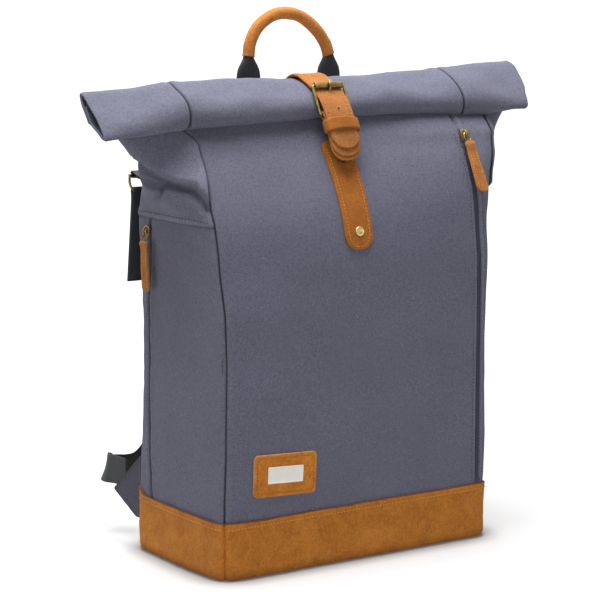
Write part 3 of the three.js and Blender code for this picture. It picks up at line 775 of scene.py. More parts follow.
def zip_slot(distance, lip_puckers):
    """The slot that a zip lies in, with its two puckered lips."""
    slot = -2.6 * (1 - ramp(np.abs(distance), ZIP_GAP - 0.9, ZIP_GAP + 0.7))
    lips = (0.9 + 0.45 * lip_puckers) * bump(np.abs(distance) - ZIP_GAP - 2.6, 2.0)
    return slot + lips


def puckers(points, along, seed):
    """Small wrinkles that a sewn edge draws into cloth."""
    wander = grain(points, 30, seed)
    return np.sin(along / 2.6 + 4 * wander) * (0.5 + 0.5 * np.abs(wander))


# ---------------------------------------------------------------- canvas body

BODY_STEP = 3.0
CANVAS_THICKNESS = 1.6


def front_canvas():
    heights = np.arange(FOOT_Z, NECK_Z, BODY_STEP)
    width = 2 * CORNER_X + 12
    shares = seam_shares(width, 4, [(width - 38, width, 1.2)])
    points = panel_grid("front", heights, shares)
    x, z = points[..., 0], points[..., 2]
    distance = x - FRONT_ZIP_X
    height = tuck(points) + 1.1 * grain(points, 95, 1) + 0.3 * grain(points, 26, 2)
    height += zip_slot(distance, puckers(points, z, 3)) * ramp(z, BAND_TOP, BAND_TOP + 8)
    height -= 2.0 * bump(z - 412, 14) * bump(x + 30, 120)
    # Painted highlight along the zip's two lips, and painted shade in the side seams.
    painted_light_and_tone = 0.7 * bump(np.abs(distance) - ZIP_GAP - 1.5, 1.2) + painted_seam_shade(points)
    return finish_canvas("front_canvas", raise_by(points, height), painted_light_and_tone, "front_panel")


def back_canvas():
    heights = np.arange(FOOT_Z, NECK_Z, 5)
    points = panel_grid("back", heights, seam_shares(2 * CORNER_X, 6))
    height = tuck(points) + 1.0 * grain(points, 95, 5)
    # Painted shade in the side seams.
    return finish_canvas("back_canvas", raise_by(points, height), painted_seam_shade(points), "back_panel")


def side_canvas(name, side):
    heights = np.concatenate([np.arange(FOOT_Z, SEAM_Z - 4, BODY_STEP), [SEAM_Z - 3, SEAM_Z]])
    zip_zone = [(16, 62, 1.2)] if side < 0 else []
    points = panel_grid(name, heights, seam_shares(SIDE_WIDTH, 4, zip_zone))
    y, z = points[..., 1], points[..., 2]
    height = tuck(points) + 1.3 * grain(points, 85, 7 + side) + 0.35 * grain(points, 24, 9)
    # Painted shade in the side seams.
    painted_light_and_tone = painted_seam_shade(points)
    if side < 0:
        distance = y - side_zip_y(z)
        height += zip_slot(distance, 1.3 * puckers(points, z, 11)) * ramp(z, BAND_TOP, BAND_TOP + 6)
        height += 0.8 * puckers(points, z * 0.35, 12) * bump(np.abs(distance) - 9, 6)
        # Painted highlight along the zip's two lips.
        painted_light_and_tone = painted_light_and_tone + 0.9 * bump(np.abs(distance) - ZIP_GAP - 1.5, 1.3)
    return finish_canvas(f"side_canvas_{name}", raise_by(points, height), painted_light_and_tone, f"side_panel_{name}")


# Folds in the left gusset: a (y, z) line, its reach on either side, and its height.
# The right gusset has the same ones, a little higher.
GUSSET_FOLDS = [
    ([(-68, 341), (-58, 351), (-50, 360), (-42, 368), (-27, 371), (-18, 376), (-8, 385), (0, 394), (8, 405),
      (16, 413)], 2.8, 16, 7.5),
    ([(9, 372), (3, 370), (-4, 365), (-11, 360), (-13, 352)], 2.4, 10, 5.5),
    ([(3, 345), (-6, 350), (-14, 355), (-20, 362), (-25, 370)], 2.4, 9, 5.0),
]


def collar_cloth(name, side):
    heights = np.concatenate([SEAM_Z + np.array([-2.5, -2, -1, 0.5]), np.arange(SEAM_Z + 2, NECK_Z, 2.2)])
    points = panel_grid(name, heights, seam_shares(150, 3), 0.2)
    y, z = points[..., 1], points[..., 2]
    height = 0.9 * grain(points, 50, 13 + side) + 0.4 * grain(points, 20, 15)
    height = height * ramp(z, SEAM_Z, SEAM_Z + 15) + tuck(points)
    height += 1.1 * bump(z - SEAM_Z - 1.5, 3.2)
    # Painted highlight just above the lower seam, painted shade just below it, and painted shade in the side
    # seams.
    painted_light_and_tone = 0.9 * bump(z - SEAM_Z - 1, 1.6) - 0.5 * bump(z - SEAM_Z + 2, 1.0) + painted_seam_shade(points)
    for line, near, far, lift in GUSSET_FOLDS:
        shifted = np.array(line, float) + [0, 4 * (side > 0)]
        fold = fold_height(y, z, shifted, near, far, lift) * (1 - 0.6 * bump(y - 3, 11))
        height += fold
        # Painted highlight on the fold ridges.
        painted_light_and_tone = painted_light_and_tone + 0.12 * np.clip(fold, 0, None)
    piece = finish_canvas(f"collar_cloth_{name}", raise_by(points, height), painted_light_and_tone, f"collar_{name}")
    row = panel_row(name, SEAM_Z + 3.2, np.linspace(0.02, 0.98, 90), 4)
    sew(f"collar_stitches_{name}", Skin(piece), row, "bag", THREAD_DARK, "canvas", 4.2, 0.45, 0.5,
        outwards=(side, 0, 0))


def finish_canvas(name, points, painted_light_and_tone, node):
    piece = cloth(name, points, CANVAS, CANVAS_THICKNESS, painted_light_and_tone)
    return attach(piece, "bag", "canvas", node)


# ---------------------------------------------------------------- the rolled mouth

# Outer face of the roll, from the crease at the back, over the top and round to the front.
ROLL = [
    (21, 407.5), (28, 423), (29.5, 438), (25, 450.5), (15.5, 457), (4, 457.5), (-9, 451.5),
    (-20.5, 443.5), (-28.5, 435.5), (-33, 427), (-34, 418), (-31, 409.5), (-21, 405), (-4, 404.5),
    (10, 404.5),
]
ROLL_LOW, ROLL_HIGH = 404.5, 457.5
ROLL_CENTRE = np.array([-2, 431])
# How the roll's top and underside rise and fall from end to end.
ROLL_TOP_SHIFT = [(-250, -6.5), (-215, -3), (-175, -0.5), (-100, 0.8), (-45, 1.4), (0, -0.3), (45, 1),
                  (110, 1.6), (160, 4), (210, 7), (250, 6)]
ROLL_UNDER_SHIFT = [(-250, 5.5), (-150, 8), (-60, 10.5), (50, 13.5), (110, 12.5), (150, 9), (190, 6.5),
                    (250, 9)]
ROLL_SEAM_X = 157
ROLL_TURNS = 1.7
# Each end of the roll is pressed flat and slants from its top at the back to its foot at the front:
# its middle and long axis as (y, z), and how much of its length and thickness is left.
ROLL_END = {-1: ((-8, 430.5), (-38, -37), 0.90, 0.27), 1: ((-7, 443.5), (-51, -41), 1.02, 0.42)}
# The roll's right end leans out at its top: shares of the height, and how far.
ROLL_BOW = ((0.3, 0.45, 0.6, 0.75, 0.9, 1.1), (-8, -7, -5, 0, 3.5, 7))
# Dents that the strap and the handle press into the top: x, y, width and depth.
ROLL_DENTS = [(-44, -14, 20, 3.0), (-26, 4, 12, 1.8), (36, -18, 16, 2.2), (112, -16, 30, 1.8),
              (-112, -8, 24, 1.6), (-205, -14, 22, 1.6), (212, -20, 18, 2.0)]


def spiral_of_roll(steps):
    """One and seven tenths turns of the roll's section, wound inwards after the first half turn."""
    outline = spline(ROLL, steps, closed=True)
    i = np.arange(int(steps * ROLL_TURNS))
    size = 1 - 0.46 * np.maximum(0, i / steps - 0.55)
    return (outline[i % steps] - ROLL_CENTRE) * size[:, None] + ROLL_CENTRE


def press_end(section, places, x):
    """Blends the roll's section at x towards the flattened one at its end."""
    middle, axis, length, thickness = ROLL_END[1 if x > 0 else -1]
    axis = unit(np.array(axis, float))
    off = np.array([-axis[1], axis[0]])
    local = section - ROLL_CENTRE
    flat = middle + np.outer(local @ axis * length, axis) + np.outer(local @ off * thickness, off)
    share = ramp(abs(x), ROLL_SEAM_X - 5, ROLL_HALF + 8)
    return places * (1 - share) + flat * share


def roll_cloth():
    spiral = spiral_of_roll(72)
    turn = np.arange(len(spiral))
    near = np.array([0, 0.8, 1.6, 2.8, 4.5])
    seams = [side * (ROLL_SEAM_X + sign * d) for side in (-1, 1) for sign in (-1, 1) for d in near]
    ends = [side * (ROLL_HALF - 3 - d) for side in (-1, 1) for d in near]
    even = np.arange(-ROLL_HALF + 12, ROLL_HALF - 11, 4)
    columns = np.unique(np.concatenate([even, seams, ends]).round(3))[::-1]
    share = (spiral[:, 1] - ROLL_LOW) / (ROLL_HIGH - ROLL_LOW)
    points = np.zeros((len(spiral), len(columns), 3))
    for c, x in enumerate(columns):
        high = ROLL_HIGH + at_height(x, ROLL_TOP_SHIFT)
        low = ROLL_LOW + at_height(x, ROLL_UNDER_SHIFT)
        forward = 5 * ramp(x, 60, 190) * (spiral[:, 0] < 0) * ramp(-spiral[:, 0], 0, 20)
        places = np.column_stack([spiral[:, 0] - forward, low + share * (high - low)])
        points[:, c, 0] = x
        points[:, c, 1:] = press_end(spiral, places, x)
    x = points[..., 0].copy()
    points[..., 0] *= 1 - 0.11 * ramp(turn, 80, 98)[:, None]
    height_share = (points[..., 2] - ROLL_LOW) / (ROLL_HIGH - ROLL_LOW)
    points[..., 0] += np.interp(height_share, *ROLL_BOW) * ramp(x, 185, ROLL_HALF)
    seam = np.abs(np.abs(x) - ROLL_SEAM_X)
    end = ROLL_HALF - 3 - np.abs(x)
    outer = 1 - ramp(turn[:, None], 60, 80)
    height = 1.7 * grain(points * [0.55, 1, 1], 40, 21) + 0.6 * grain(points, 19, 22)
    height = height * outer - 2.0 * bump(seam, 1.1) + 0.9 * bump(seam - 6, 4)
    height += 0.5 * bump(end - 3, 2.0) - 0.8 * bump(end, 1.4)
    height -= 1.6 * bump(x, 20) * outer
    for dent_x, dent_y, size, depth in ROLL_DENTS:
        away = np.hypot(x - dent_x, 1.6 * (points[..., 1] - dent_y))
        height -= depth * bump(away, size) * outer * (points[..., 2] > ROLL_LOW + 22)
    # Paler along the roll's end edges, and painted shade in its two seam grooves.
    painted_light_and_tone = 0.5 * bump(end, 2.5) - 1.3 * bump(seam, 1.0) * outer
    piece = cloth("roll_cloth", raise_by(points, height), CANVAS, 2.2, painted_light_and_tone)
    attach(piece, "bag", "canvas", "roll_top")


# ---------------------------------------------------------------- suede band

SUEDE_EDGE = suede_material("suede_edge", linear(206, 140, 92), linear(232, 176, 134), 0.7)
BAND_FOOT = 6                    # rounding of the band's lower edge
BAND_PROUD = 2.5                 # how far the band stands out from the canvas
STITCH_DROP = 5.5                # from the band's upper edge down to its stitches


def band_top(points):
    """The band's upper edge isn't cut quite straight."""
    return BAND_TOP + 0.8 * grain(points, 60, 31) + 0.3 * grain(points, 16, 32)


def band_piece(panel):
    """One side of the band, with its upper edge folded over the canvas."""
    width = 2 * CORNER_X if panel in ("front", "back") else SIDE_WIDTH
    shares = seam_shares(width, 3)
    levels = [(0.2, -6.0), (0.05, -2.5), (0.7, 0.2), (2.4, 1.7)]
    levels += [(z, BAND_PROUD) for z in np.arange(BAND_FOOT, BAND_TOP - 1.5, 3.2)]
    rows = [panel_row(panel, max(z, 0.1), shares, grow) for z, grow in levels]
    edge = [panel_row(panel, BAND_TOP, shares, grow) for grow in (2.45, 2.2, 1.2, 0.2)]
    points = np.array(rows + edge)
    row_number = np.arange(len(points))[:, None]
    top = band_top(points[-4])
    if panel == "left":
        top = top + 6.5 * (1 - ramp(-points[-4][:, 1], -76, -58))
    for k, drop in enumerate((0.7, 0.1, 0.0, 0.1)):
        points[len(rows) + k, :, 2] = top - drop
    z = points[..., 2]
    inside = ramp(z, 0.0, 4) * (row_number < len(rows))
    from_seam = edge_distance(points)
    height = (1.1 * grain(points, 45, 33) + 0.5 * grain(points, 15, 34)) * inside
    height -= 3.0 * bump(from_seam, 1.4) * (row_number < len(rows) + 2)
    height += 0.8 * puckers(points, points[..., 0] + points[..., 1], 35) * bump(z - 18, 14) * inside * 0.5
    height -= 0.5 * bump(z - (BAND_TOP - STITCH_DROP), 1.6) * inside
    height += 3.2 * bump(z - 4, 16) * ramp(from_seam, 2, 22) * inside
    raised = raise_by(points, height)
    faces = grid_faces(*points.shape[:2])
    cut_from = (len(points) - 4) * (points.shape[1] - 1)
    kinds = [int(i >= cut_from) for i in range(len(faces))]
    piece = make_mesh(f"suede_band_{panel}", raised, faces, [SUEDE, SUEDE_CUT], kinds, surface_uv(raised))
    attach(piece, "bag", "suede", f"band_{panel}")
    row = panel_row(panel, BAND_TOP - STITCH_DROP, np.linspace(0.012, 0.988, 90), 4)
    sew(f"suede_band_{panel}_stitches", Skin(piece), row, "bag", THREAD_TAN, "suede", 3.6, 0.52, 0.56, 0.3)


def suede_base():
    for panel in ("front", "back", "left", "right"):
        band_piece(panel)
    line = ring(0.2, -4.5)[0]
    middle = line.mean(axis=0)
    rows = np.array([np.column_stack([middle + (line - middle) * s, np.full(len(line), 0.6)])
                     for s in np.linspace(0.02, 1, 24)])
    rows[..., 2] += 0.5 * np.abs(grain(rows, 40, 36))
    faces = grid_faces(*rows.shape[:2], wrap_columns=True)
    faces.append(list(range(rows.shape[1])))
    under = make_mesh("suede_underside", rows, faces, [SUEDE])
    thicken(under, 1.8)
    attach(under, "bag", "suede", "base_panel")


front = front_canvas()
back_canvas()
left_side = side_canvas("left", -1)
side_canvas("right", 1)
for name, side in SIDES:
    collar_cloth(name, side)
roll_cloth()
suede_base()


# ---------------------------------------------------------------- closure strap, chape and buckle

# Middle of the closure strap as (y, z): up the back and over the roll, then down the front.
STRAP_OVER = [
    (58, 366.5), (49, 381), (40.5, 394.5), (34.5, 408), (32.5, 424), (32.2, 440), (27.5, 452.5),
    (16.5, 459.7), (4, 459.9), (-6, 455.8),
]
STRAP_DOWN = [
    (-6, 455.8), (-14.5, 452.4), (-25, 446.4), (-35.5, 437.6), (-43, 427.5), (-48.5, 417.5),
    (-54, 406), (-59, 394), (-63.2, 384),
]
LEATHER = 2.5
PLY = 1.5
WIRE = 1.5
BILLET_END = 84.0                # distances down the front of the strap, from its fold line
ROLLER_AT = 18.0
HEEL_AT = 47.0
KEEPER_AT = 61.0
CHAPE_ENDS = (91.0, 95.0)        # the front ply is cut a little shorter than the back one
KEEPER_HALF = 17.8               # half its width, and its two faces off the strap's middle
KEEPER_INNER, KEEPER_OUTER = -6.3, 2.8
BUCKLE_HALF = 17.9
ACROSS = (1, 0, 0)
GAP = 0.3

DOWN = spline(STRAP_DOWN, 200)
DOWN_LENGTH = length_of(DOWN)


def on_strap(distance, outwards=0.0):
    """A (y, z) place on the front of the strap: distance from its fold line, and distance outwards."""
    share = min(distance / DOWN_LENGTH, 1)
    spot = walk(DOWN, [share])[0]
    low, high = walk(DOWN, [max(share - 0.01, 0), min(share + 0.01, 1)])
    along = unit(high - low)
    return spot + outwards * np.array([along[1], -along[0]])


def in_plane(points, x=0.0):
    """(y, z) points as 3-D points at one X."""
    points = np.asarray(points, float)
    return np.column_stack([np.full(len(points), x), points])


def out_of_strap(distance):
    """The direction off the strap's face, at a distance down its front."""
    return np.append([0], unit(on_strap(distance, 2) - on_strap(distance)))


ROLLER_CENTRE = on_strap(ROLLER_AT, LEATHER / 2 + 3.3)
HEEL_CENTRE = on_strap(HEEL_AT, -(LEATHER / 2 + 2 * GAP + PLY + WIRE))
FRAME_AXIS = unit(ROLLER_CENTRE - HEEL_CENTRE)
FRAME_OUT = np.array([-FRAME_AXIS[1], FRAME_AXIS[0]])


def bend_with_flap(piece):
    """Bakes the piece's transform into its mesh."""
    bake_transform(piece)


def edge_rows(piece, line, half, inset, name):
    """Two rows of stitches along a strap, just in from its edges."""
    skin = Skin(piece)
    line = np.asarray(line, float)
    return [sew(f"{name}_{label}", skin, line + [side * (half - inset), 0, 0], None, THREAD_TAN, "suede",
                3.2, 0.46, 0.58, 0.2) for label, side in SIDES]


def closure_strap():
    over = spline(STRAP_OVER, 70)
    line = np.vstack([over, spline(STRAP_DOWN, 60)[1:]])
    line = walk(line, np.linspace(0, (length_of(over) + BILLET_END) / length_of(line), 150))
    piece = strap("closure_strap_leather", in_plane(line), ACROSS, STRAP_HALF, LEATHER,
                  SUEDE_STRAP, last=15, step=2.0)
    ruffle(piece, 0.35, 14, 41)
    finish_piece(piece, "suede", "closure_strap", "billet")
    outer = in_plane(line[6:-6])
    offset = np.array([np.append([0], unit([t[2], -t[1]])) for t in tangents(outer)])
    rows = edge_rows(piece, outer + offset * 1.2, STRAP_HALF, 3.6, "closure_strap_stitches")
    for made in [piece] + rows:
        bend_with_flap(made)
    for distance, name in ((10, "upper"), (44.5, "lower")):
        spot = in_plane([on_strap(distance, LEATHER / 2 + 0.2)])[0]
        hole = hole_with_painted_shade(f"strap_hole_{name}", spot, out_of_strap(distance), 1.6)
        attach(hole, "closure_flap", "suede")


def ruffle(piece, amount, size, seed):
    """Small unevenness over a whole piece, along its normals."""
    places = places_of(piece)
    move_to(piece, places + normals_of(piece) * (amount * grain(places, size, seed))[:, None])


def hole_with_painted_shade(name, spot, out, radius):
    """A hole with a slightly raised rim; its middle is a disc of painted shade, not an opening."""
    side = unit(np.cross(out, ACROSS))
    steps = ((1.3, -0.3), (1.15, 0.35), (0.98, 0.4), (0.85, 0.2), (0.05, 0.15))
    rings = np.array([place_section(spot + out * lift, circle(radius * size, 16), ACROSS, side)
                      for size, lift in steps])
    faces = grid_faces(*rings.shape[:2], wrap_columns=True)
    # The inner rings take the painted shade colour.
    kinds = [int(i >= 32) for i in range(len(faces))]
    return make_mesh(name, rings, faces, [SUEDE_EDGE, HOLE_SHADE], kinds)


def chape_leather():
    """One piece of leather folded round the buckle's heel bar, with both plies hanging on below."""
    middle = LEATHER / 2 + GAP + PLY / 2
    turn = WIRE + GAP + PLY / 2
    short, long = CHAPE_ENDS
    front_ply = [on_strap(s, -middle) for s in np.linspace(short, HEEL_AT + 2, 26)]
    start = math.atan2(FRAME_AXIS[1], FRAME_AXIS[0])
    angles = start + np.radians(np.arange(80, -101, -15))
    fold = HEEL_CENTRE + turn * np.column_stack([np.cos(angles), np.sin(angles)])
    neck = [on_strap(51.5, -6.2), on_strap(54, -4.8)]
    back_ply = [on_strap(s, -(middle + PLY + GAP)) for s in np.linspace(57, long, 22)]
    line = walk(np.vstack([front_ply, fold, neck, back_ply]), np.linspace(0, 1, 140))
    piece = strap("chape_leather", in_plane(line), ACROSS, STRAP_HALF + 0.6, PLY, SUEDE_STRAP,
                  first=15, last=15, step=2.0)
    ruffle(piece, 0.25, 12, 42)
    attach(piece, "closure_flap", "suede", "chape")


def keeper_loop():
    """A band of leather sewn into a loop round the strap and the chape."""
    half_x, inner, outer, bend = KEEPER_HALF, KEEPER_INNER, KEEPER_OUTER, 3.4
    right = [(half_x - bend, outer), (half_x - 1.0, outer - 1.0), (half_x, outer - bend),
             (half_x, inner + bend), (half_x - bend, inner)]
    left = [(-x, o) for x, o in right[::-1]]
    shape = spline([left[-1], (0, outer + 1.1)] + right + left[:-1], 72, closed=True)
    centre = in_plane([on_strap(KEEPER_AT)])[0]
    down = np.append([0], unit(on_strap(KEEPER_AT + 4) - on_strap(KEEPER_AT - 4)))
    path = centre + shape[:, :1] * np.array(ACROSS) + shape[:, 1:] * out_of_strap(KEEPER_AT)
    arch = -1.7 * (1 - (shape[:, :1] / half_x) ** 2) * (shape[:, 1:] > 0)
    path = path + arch * down
    side = np.broadcast_to(down, path.shape)
    top = unit(np.cross(tangents(path, closed=True), side))
    rings = np.array([place_section(c, strap_section(6.0, 1.9), s, t) for c, s, t in zip(path, side, top)])
    # The keeper takes the darker suede copy: painted shade.
    piece = make_mesh("keeper_leather", rings, grid_faces(*rings.shape[:2], True, True), [SUEDE_PAINTED_SHADE])
    ruffle(piece, 0.35, 9, 43)
    attach(piece, "closure_flap", "suede", "keeper")


def rounded_rectangle(half_a, half_b, radius, count=8):
    """A closed outline with round corners, as (a, b) points."""
    points = []
    for sa, sb, start in ((1, 1, 0), (-1, 1, 90), (-1, -1, 180), (1, -1, 270)):
        for angle in np.radians(np.linspace(start, start + 90, count)):
            points.append((sa * (half_a - radius) + radius * math.cos(angle),
                           sb * (half_b - radius) + radius * math.sin(angle)))
    return np.array(points)


def wire_loop(name, centre, axis_a, axis_b, outline, radius, material, squash=1.0):
    path = place_section(centre, outline, axis_a, axis_b)
    return rod(name, path, circle(radius, 12, squash), material, closed=True, up=np.cross(axis_a, axis_b))


def buckle():
    axis = np.append([0], FRAME_AXIS)
    out = np.append([0], FRAME_OUT)
    span = ROLLER_CENTRE - HEEL_CENTRE

    def beside(share, height):
        """A place along the frame, from its heel to its roller, at a height off it."""
        return in_plane([HEEL_CENTRE + share * span + FRAME_OUT * height])[0]

    centre = in_plane([(HEEL_CENTRE + ROLLER_CENTRE) / 2])[0]
    outline = rounded_rectangle(BUCKLE_HALF, np.linalg.norm(span) / 2, 2.2)
    loop = wire_loop("buckle_wire", centre, ACROSS, axis, outline, WIRE, BRASS)
    attach(loop, "closure_flap", "antique_brass", "buckle_frame")

    right = [(13.6, 3.1), (14.2, 3.1), (15.1, 3.35), (15.5, 3.1), (15.5, 1.8)]
    lathe = [(-x, radius) for x, radius in right[::-1]] + right
    middle = in_plane([ROLLER_CENTRE])[0]
    rings = [place_section(middle + np.array(ACROSS) * x, circle(r, 24), axis, out) for x, r in lathe]
    roller = make_mesh("buckle_roller_tube", rings, grid_faces(len(rings), 24, True, True), [BRASS])
    attach(roller, "buckle_roller", "antique_brass", "buckle_roller")

    root = in_plane([HEEL_CENTRE + FRAME_OUT * 2.2 - FRAME_AXIS * 0.5])[0]
    tip = in_plane([ROLLER_CENTRE + FRAME_OUT * 4.6])[0]
    end = tip + axis * 3.4 - out * 1.2
    path = spline([root, beside(0.5, 0.4), beside(0.76, -0.4), beside(0.88, 2.9), tip, end], 60)
    sizes = np.column_stack([np.interp(np.linspace(0, 1, 60), [0, 0.6, 0.9, 1], [1.0, 1.05, 1.3, 0.8])] * 2)
    prong = rod("buckle_prong_wire", path, circle(1.2, 14, 0.9), BRASS, up=out, sizes=sizes)
    attach(prong, "buckle_prong", "antique_brass", "buckle_prong")
    heel = in_plane([HEEL_CENTRE])[0]
    eye = wire_loop("buckle_prong_eye", heel, axis, out, circle(2.5, 20), 0.65, BRASS, 1.6)
    attach(eye, "buckle_prong", "antique_brass")


# ---------------------------------------------------------------- lower strap and rivet

STRAP_OFF = 1.2                  # the strap's middle in front of the canvas
RIVET_Z = 317


def lower_strap():
    """The strap sewn and riveted to the front, with round ends."""
    low, high = cad("lower_strap")[0][2], cad("lower_strap")[1][2] + 5
    line = np.array([(0, front_y(z) - STRAP_OFF, z) for z in np.linspace(low, high, 70)])
    # The lower strap takes the darker suede copy: painted shade.
    piece = strap("lower_strap_leather", line, ACROSS, STRAP_HALF, LEATHER, SUEDE_PAINTED_SHADE,
                  first=16, last=9, step=2.0)
    wrap_onto(piece, Skin(front), 0.15)
    ruffle(piece, 0.3, 13, 44)
    attach(piece, "bag", "suede", "lower_strap")
    top = Skin(piece)
    path = [(x, front_y(z) - 4, z) for x, z in outline_row(low, high, STRAP_HALF - 4.0, 12.0)]
    sew("lower_strap_stitches", top, path, "bag", THREAD_TAN, "suede", 3.2, 0.48, 0.58, 0.2, (0, -1, 0))
    return top


def outline_row(low, high, half, radius):
    """Down one side, round the bottom and up the other side of a strap's face, as (x, z)."""
    centre = low + 3 + radius
    foot = [(-half * math.cos(a), centre - radius * math.sin(a)) for a in np.linspace(0, math.pi, 30)]
    down = [(-half, z) for z in np.linspace(high - 6, centre + 1, 30)]
    up = [(half, z) for _, z in down[::-1]]
    return walk(down + foot + up, np.linspace(0, 1, 160))


def wrap_onto(piece, skin, gap):
    """Moves a flat piece along Y so that its back lies on the cloth behind it."""
    places = places_of(piece)
    for p in places:
        hit = skin.hit((p[0], -200, p[2]), (0, 1, 0))
        if hit is not None:
            p[1] = hit[1] + (p[1] - (front_y(p[2]) - STRAP_OFF)) - LEATHER / 2 - gap
    move_to(piece, places)


def dome(name, centre, out, profile, material, sides=32):
    """A turned piece from (radius, height) points, standing on a face."""
    side = unit(np.cross(out, (0.3, 0.1, 1.0)))
    up = np.cross(out, side)
    rings = [place_section(centre + np.asarray(out) * height, circle(max(radius, 0.02), sides), side, up)
             for radius, height in profile]
    return loft(name, rings, material)


def rivet_cap(strap_skin):
    probes = [strap_skin.hit((x, -300, RIVET_Z + z), (0, 1, 0))
              for x, z in ((0, 0), (-5, 0), (5, 0), (0, -5), (0, 5))]
    out = unit(np.cross(probes[2] - probes[1], probes[4] - probes[3]))
    out = out * (-1 if out[1] > 0 else 1)
    centre = np.mean(probes, axis=0) + out * 0.5
    profile = [(4.8, -0.6), (4.9, 0.3), (4.7, 0.9), (4.2, 1.25), (3.6, 1.2), (3.1, 0.95), (2.6, 1.05),
               (1.6, 1.4), (0.7, 1.55), (0.0, 1.6)]
    # The rivet cap takes the lighter brass copy: painted highlight.
    attach(dome("rivet_cap", centre, out, profile, BRASS_LIT_COPY), "bag", "antique_brass", "rivet")


# ---------------------------------------------------------------- grab handle

HANDLE_Y = sum(corner[1] for corner in cad("handle_sleeve")) / 2
HANDLE_X = 47.0
HANDLE_ARCH = [
    (-HANDLE_X, 478), (-45, 491), (-36, 506), (-20, 516.5), (-3, 519), (14, 515), (30, 504),
    (42, 490), (HANDLE_X, 478),
]
HANDLE_TAB = [(61.5, 362.5), (57, 370), (47.8, 384), (41.5, 397), (40, 410), (41, 428), (42, 444.6)]


def grab_handle():
    arch = spline([(x, HANDLE_Y, z) for x, z in HANDLE_ARCH], 110)
    share = np.linspace(0, 1, 110)
    ends = 1 + 0.07 * bump(share, 0.012) + 0.07 * bump(share - 1, 0.012)
    sleeve = rod("handle_leather", arch, circle(6.0, 28, 0.94), SUEDE_HANDLE, up=(0, 1, 0),
                 sizes=np.column_stack([ends, ends]))
    ruffle(sleeve, 0.3, 9, 51)
    attach(sleeve, "handle", "suede", "handle_sleeve")
    inner = arch + unit(np.cross(tangents(arch), (0, 1, 0))) * 5.4 + [0, -2.0, 0]
    sew("handle_stitches", Skin(sleeve), inner, "handle", THREAD_TAN, "suede", 3.0, 0.32, lift=0.05)
    core = rod("handle_webbing_core", arch, circle(3.2, 12), WEBBING_BLACK, up=(0, 1, 0))
    attach(core, "handle", "webbing", "handle_webbing")
    for name, side in SIDES:
        handle_foot(name, side)


def handle_foot(name, side):
    """Webbing that leaves the sleeve as a tube, opens out flat, and runs down the back of the roll."""
    line = HANDLE_TAB + [(HANDLE_Y, 452), (HANDLE_Y, 464), (HANDLE_Y, 482)]
    path = spline([(side * HANDLE_X, y, z) for y, z in line], 120)
    z = path[:, 2]
    half = np.interp(z, [446, 454, 460, 465, 469, 473, 476.5, 480],
                     [13, 13.6, 13.3, 12.3, 10.4, 7.8, 5.7, 4.6])
    thick = np.interp(z, [440, 452, 464, 474, 479], [1.0, 1.4, 2.8, 4.2, 4.6])
    section = strap_section(1.0, 0.35)
    section[:, 1] /= 0.175
    turn = np.arctan2(section[:, 1] * 0.6, section[:, 0])
    oval = np.column_stack([np.cos(turn), np.sin(turn)])
    rings = []
    for centre, along, h, t in zip(path, tangents(path), half, thick):
        soft = ramp(t, 1.5, 4.4)
        blob = section * (1 - soft) + oval * soft
        rings.append(place_section(centre, blob * [h, t], np.array(ACROSS), unit(np.cross(ACROSS, along))))
    piece = loft(f"handle_webbing_{name}", rings, WEBBING_BLACK)
    finish_piece(piece, "webbing", f"handle_tab_{name}")
    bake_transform(piece)


# ---------------------------------------------------------------- zips

COIL_STEP = 0.42                 # between rings of points, and from one coil to the next
COIL_PITCH = 1.5
PULL_TOP = 23.6                  # above the middle of the CAD pull
FRONT_ZIP_TOP = 404
SIDE_ZIP_TOP = 327


def zip_coil(name, line, across, out, node):
    """Tape with two rows of interlocking coils down its middle."""
    count = int(length_of(line) / COIL_STEP)
    shares = np.linspace(0, 1, count)
    path = walk(line, shares)
    side = unit(np.broadcast_to(np.asarray(across, float), path.shape))
    top = unit(walk(out, shares))
    turn = np.arange(count) * 2 * math.pi * COIL_STEP / COIL_PITCH
    right = [(0.25, 1.0), (1.0, 1.25), (1.9, 0.7), (2.3, 0), (3.6, 0)]
    profile = [(-x, rise) for x, rise in right[::-1]] + [(0, 0.7)] + right
    points = np.zeros((count, len(profile), 3))
    for c, (offset, rise) in enumerate(profile):
        wave = 0.22 * np.sin(turn + (math.pi if offset > 0 else 0)) * (rise > 0)
        points[:, c] = path + side * offset + top * (rise + wave)[:, None]
    piece = make_mesh(name, points, grid_faces(*points.shape[:2]), [ZIP])
    thicken(piece, 0.6, 0)
    attach(piece, "bag", "zip_tape", node)


def front_zip():
    skin = Skin(front)
    heights = np.linspace(BAND_TOP + 2, FRONT_ZIP_TOP, 130)
    line = np.array([skin.hit((FRONT_ZIP_X, -200, z), (0, 1, 0)) for z in heights])
    out = np.array([np.append([0], unit([-t[2], t[1]])) for t in tangents(line)])
    zip_coil("front_zip_coil", line + out * 0.6, ACROSS, out, "front_zip")
    for label, shift in (("left", -8.0), ("right", 7.0)):
        sew(f"front_zip_stitches_{label}", skin, line + [shift, -5, 0], "bag", THREAD_DARK, "canvas",
            3.4, 0.36, 0.5, 0.0, (0, -1, 0))


def side_zip():
    skin = Skin(left_side)
    heights = np.linspace(BAND_TOP + 1, SIDE_ZIP_TOP, 130)
    line = np.array([skin.hit((-300, side_zip_y(z), z), (1, 0, 0)) for z in heights])
    out = np.broadcast_to((-1.0, 0, 0), line.shape)
    zip_coil("side_zip_coil", line + out * 0.6, (0, 1, 0), out, "side_zip")


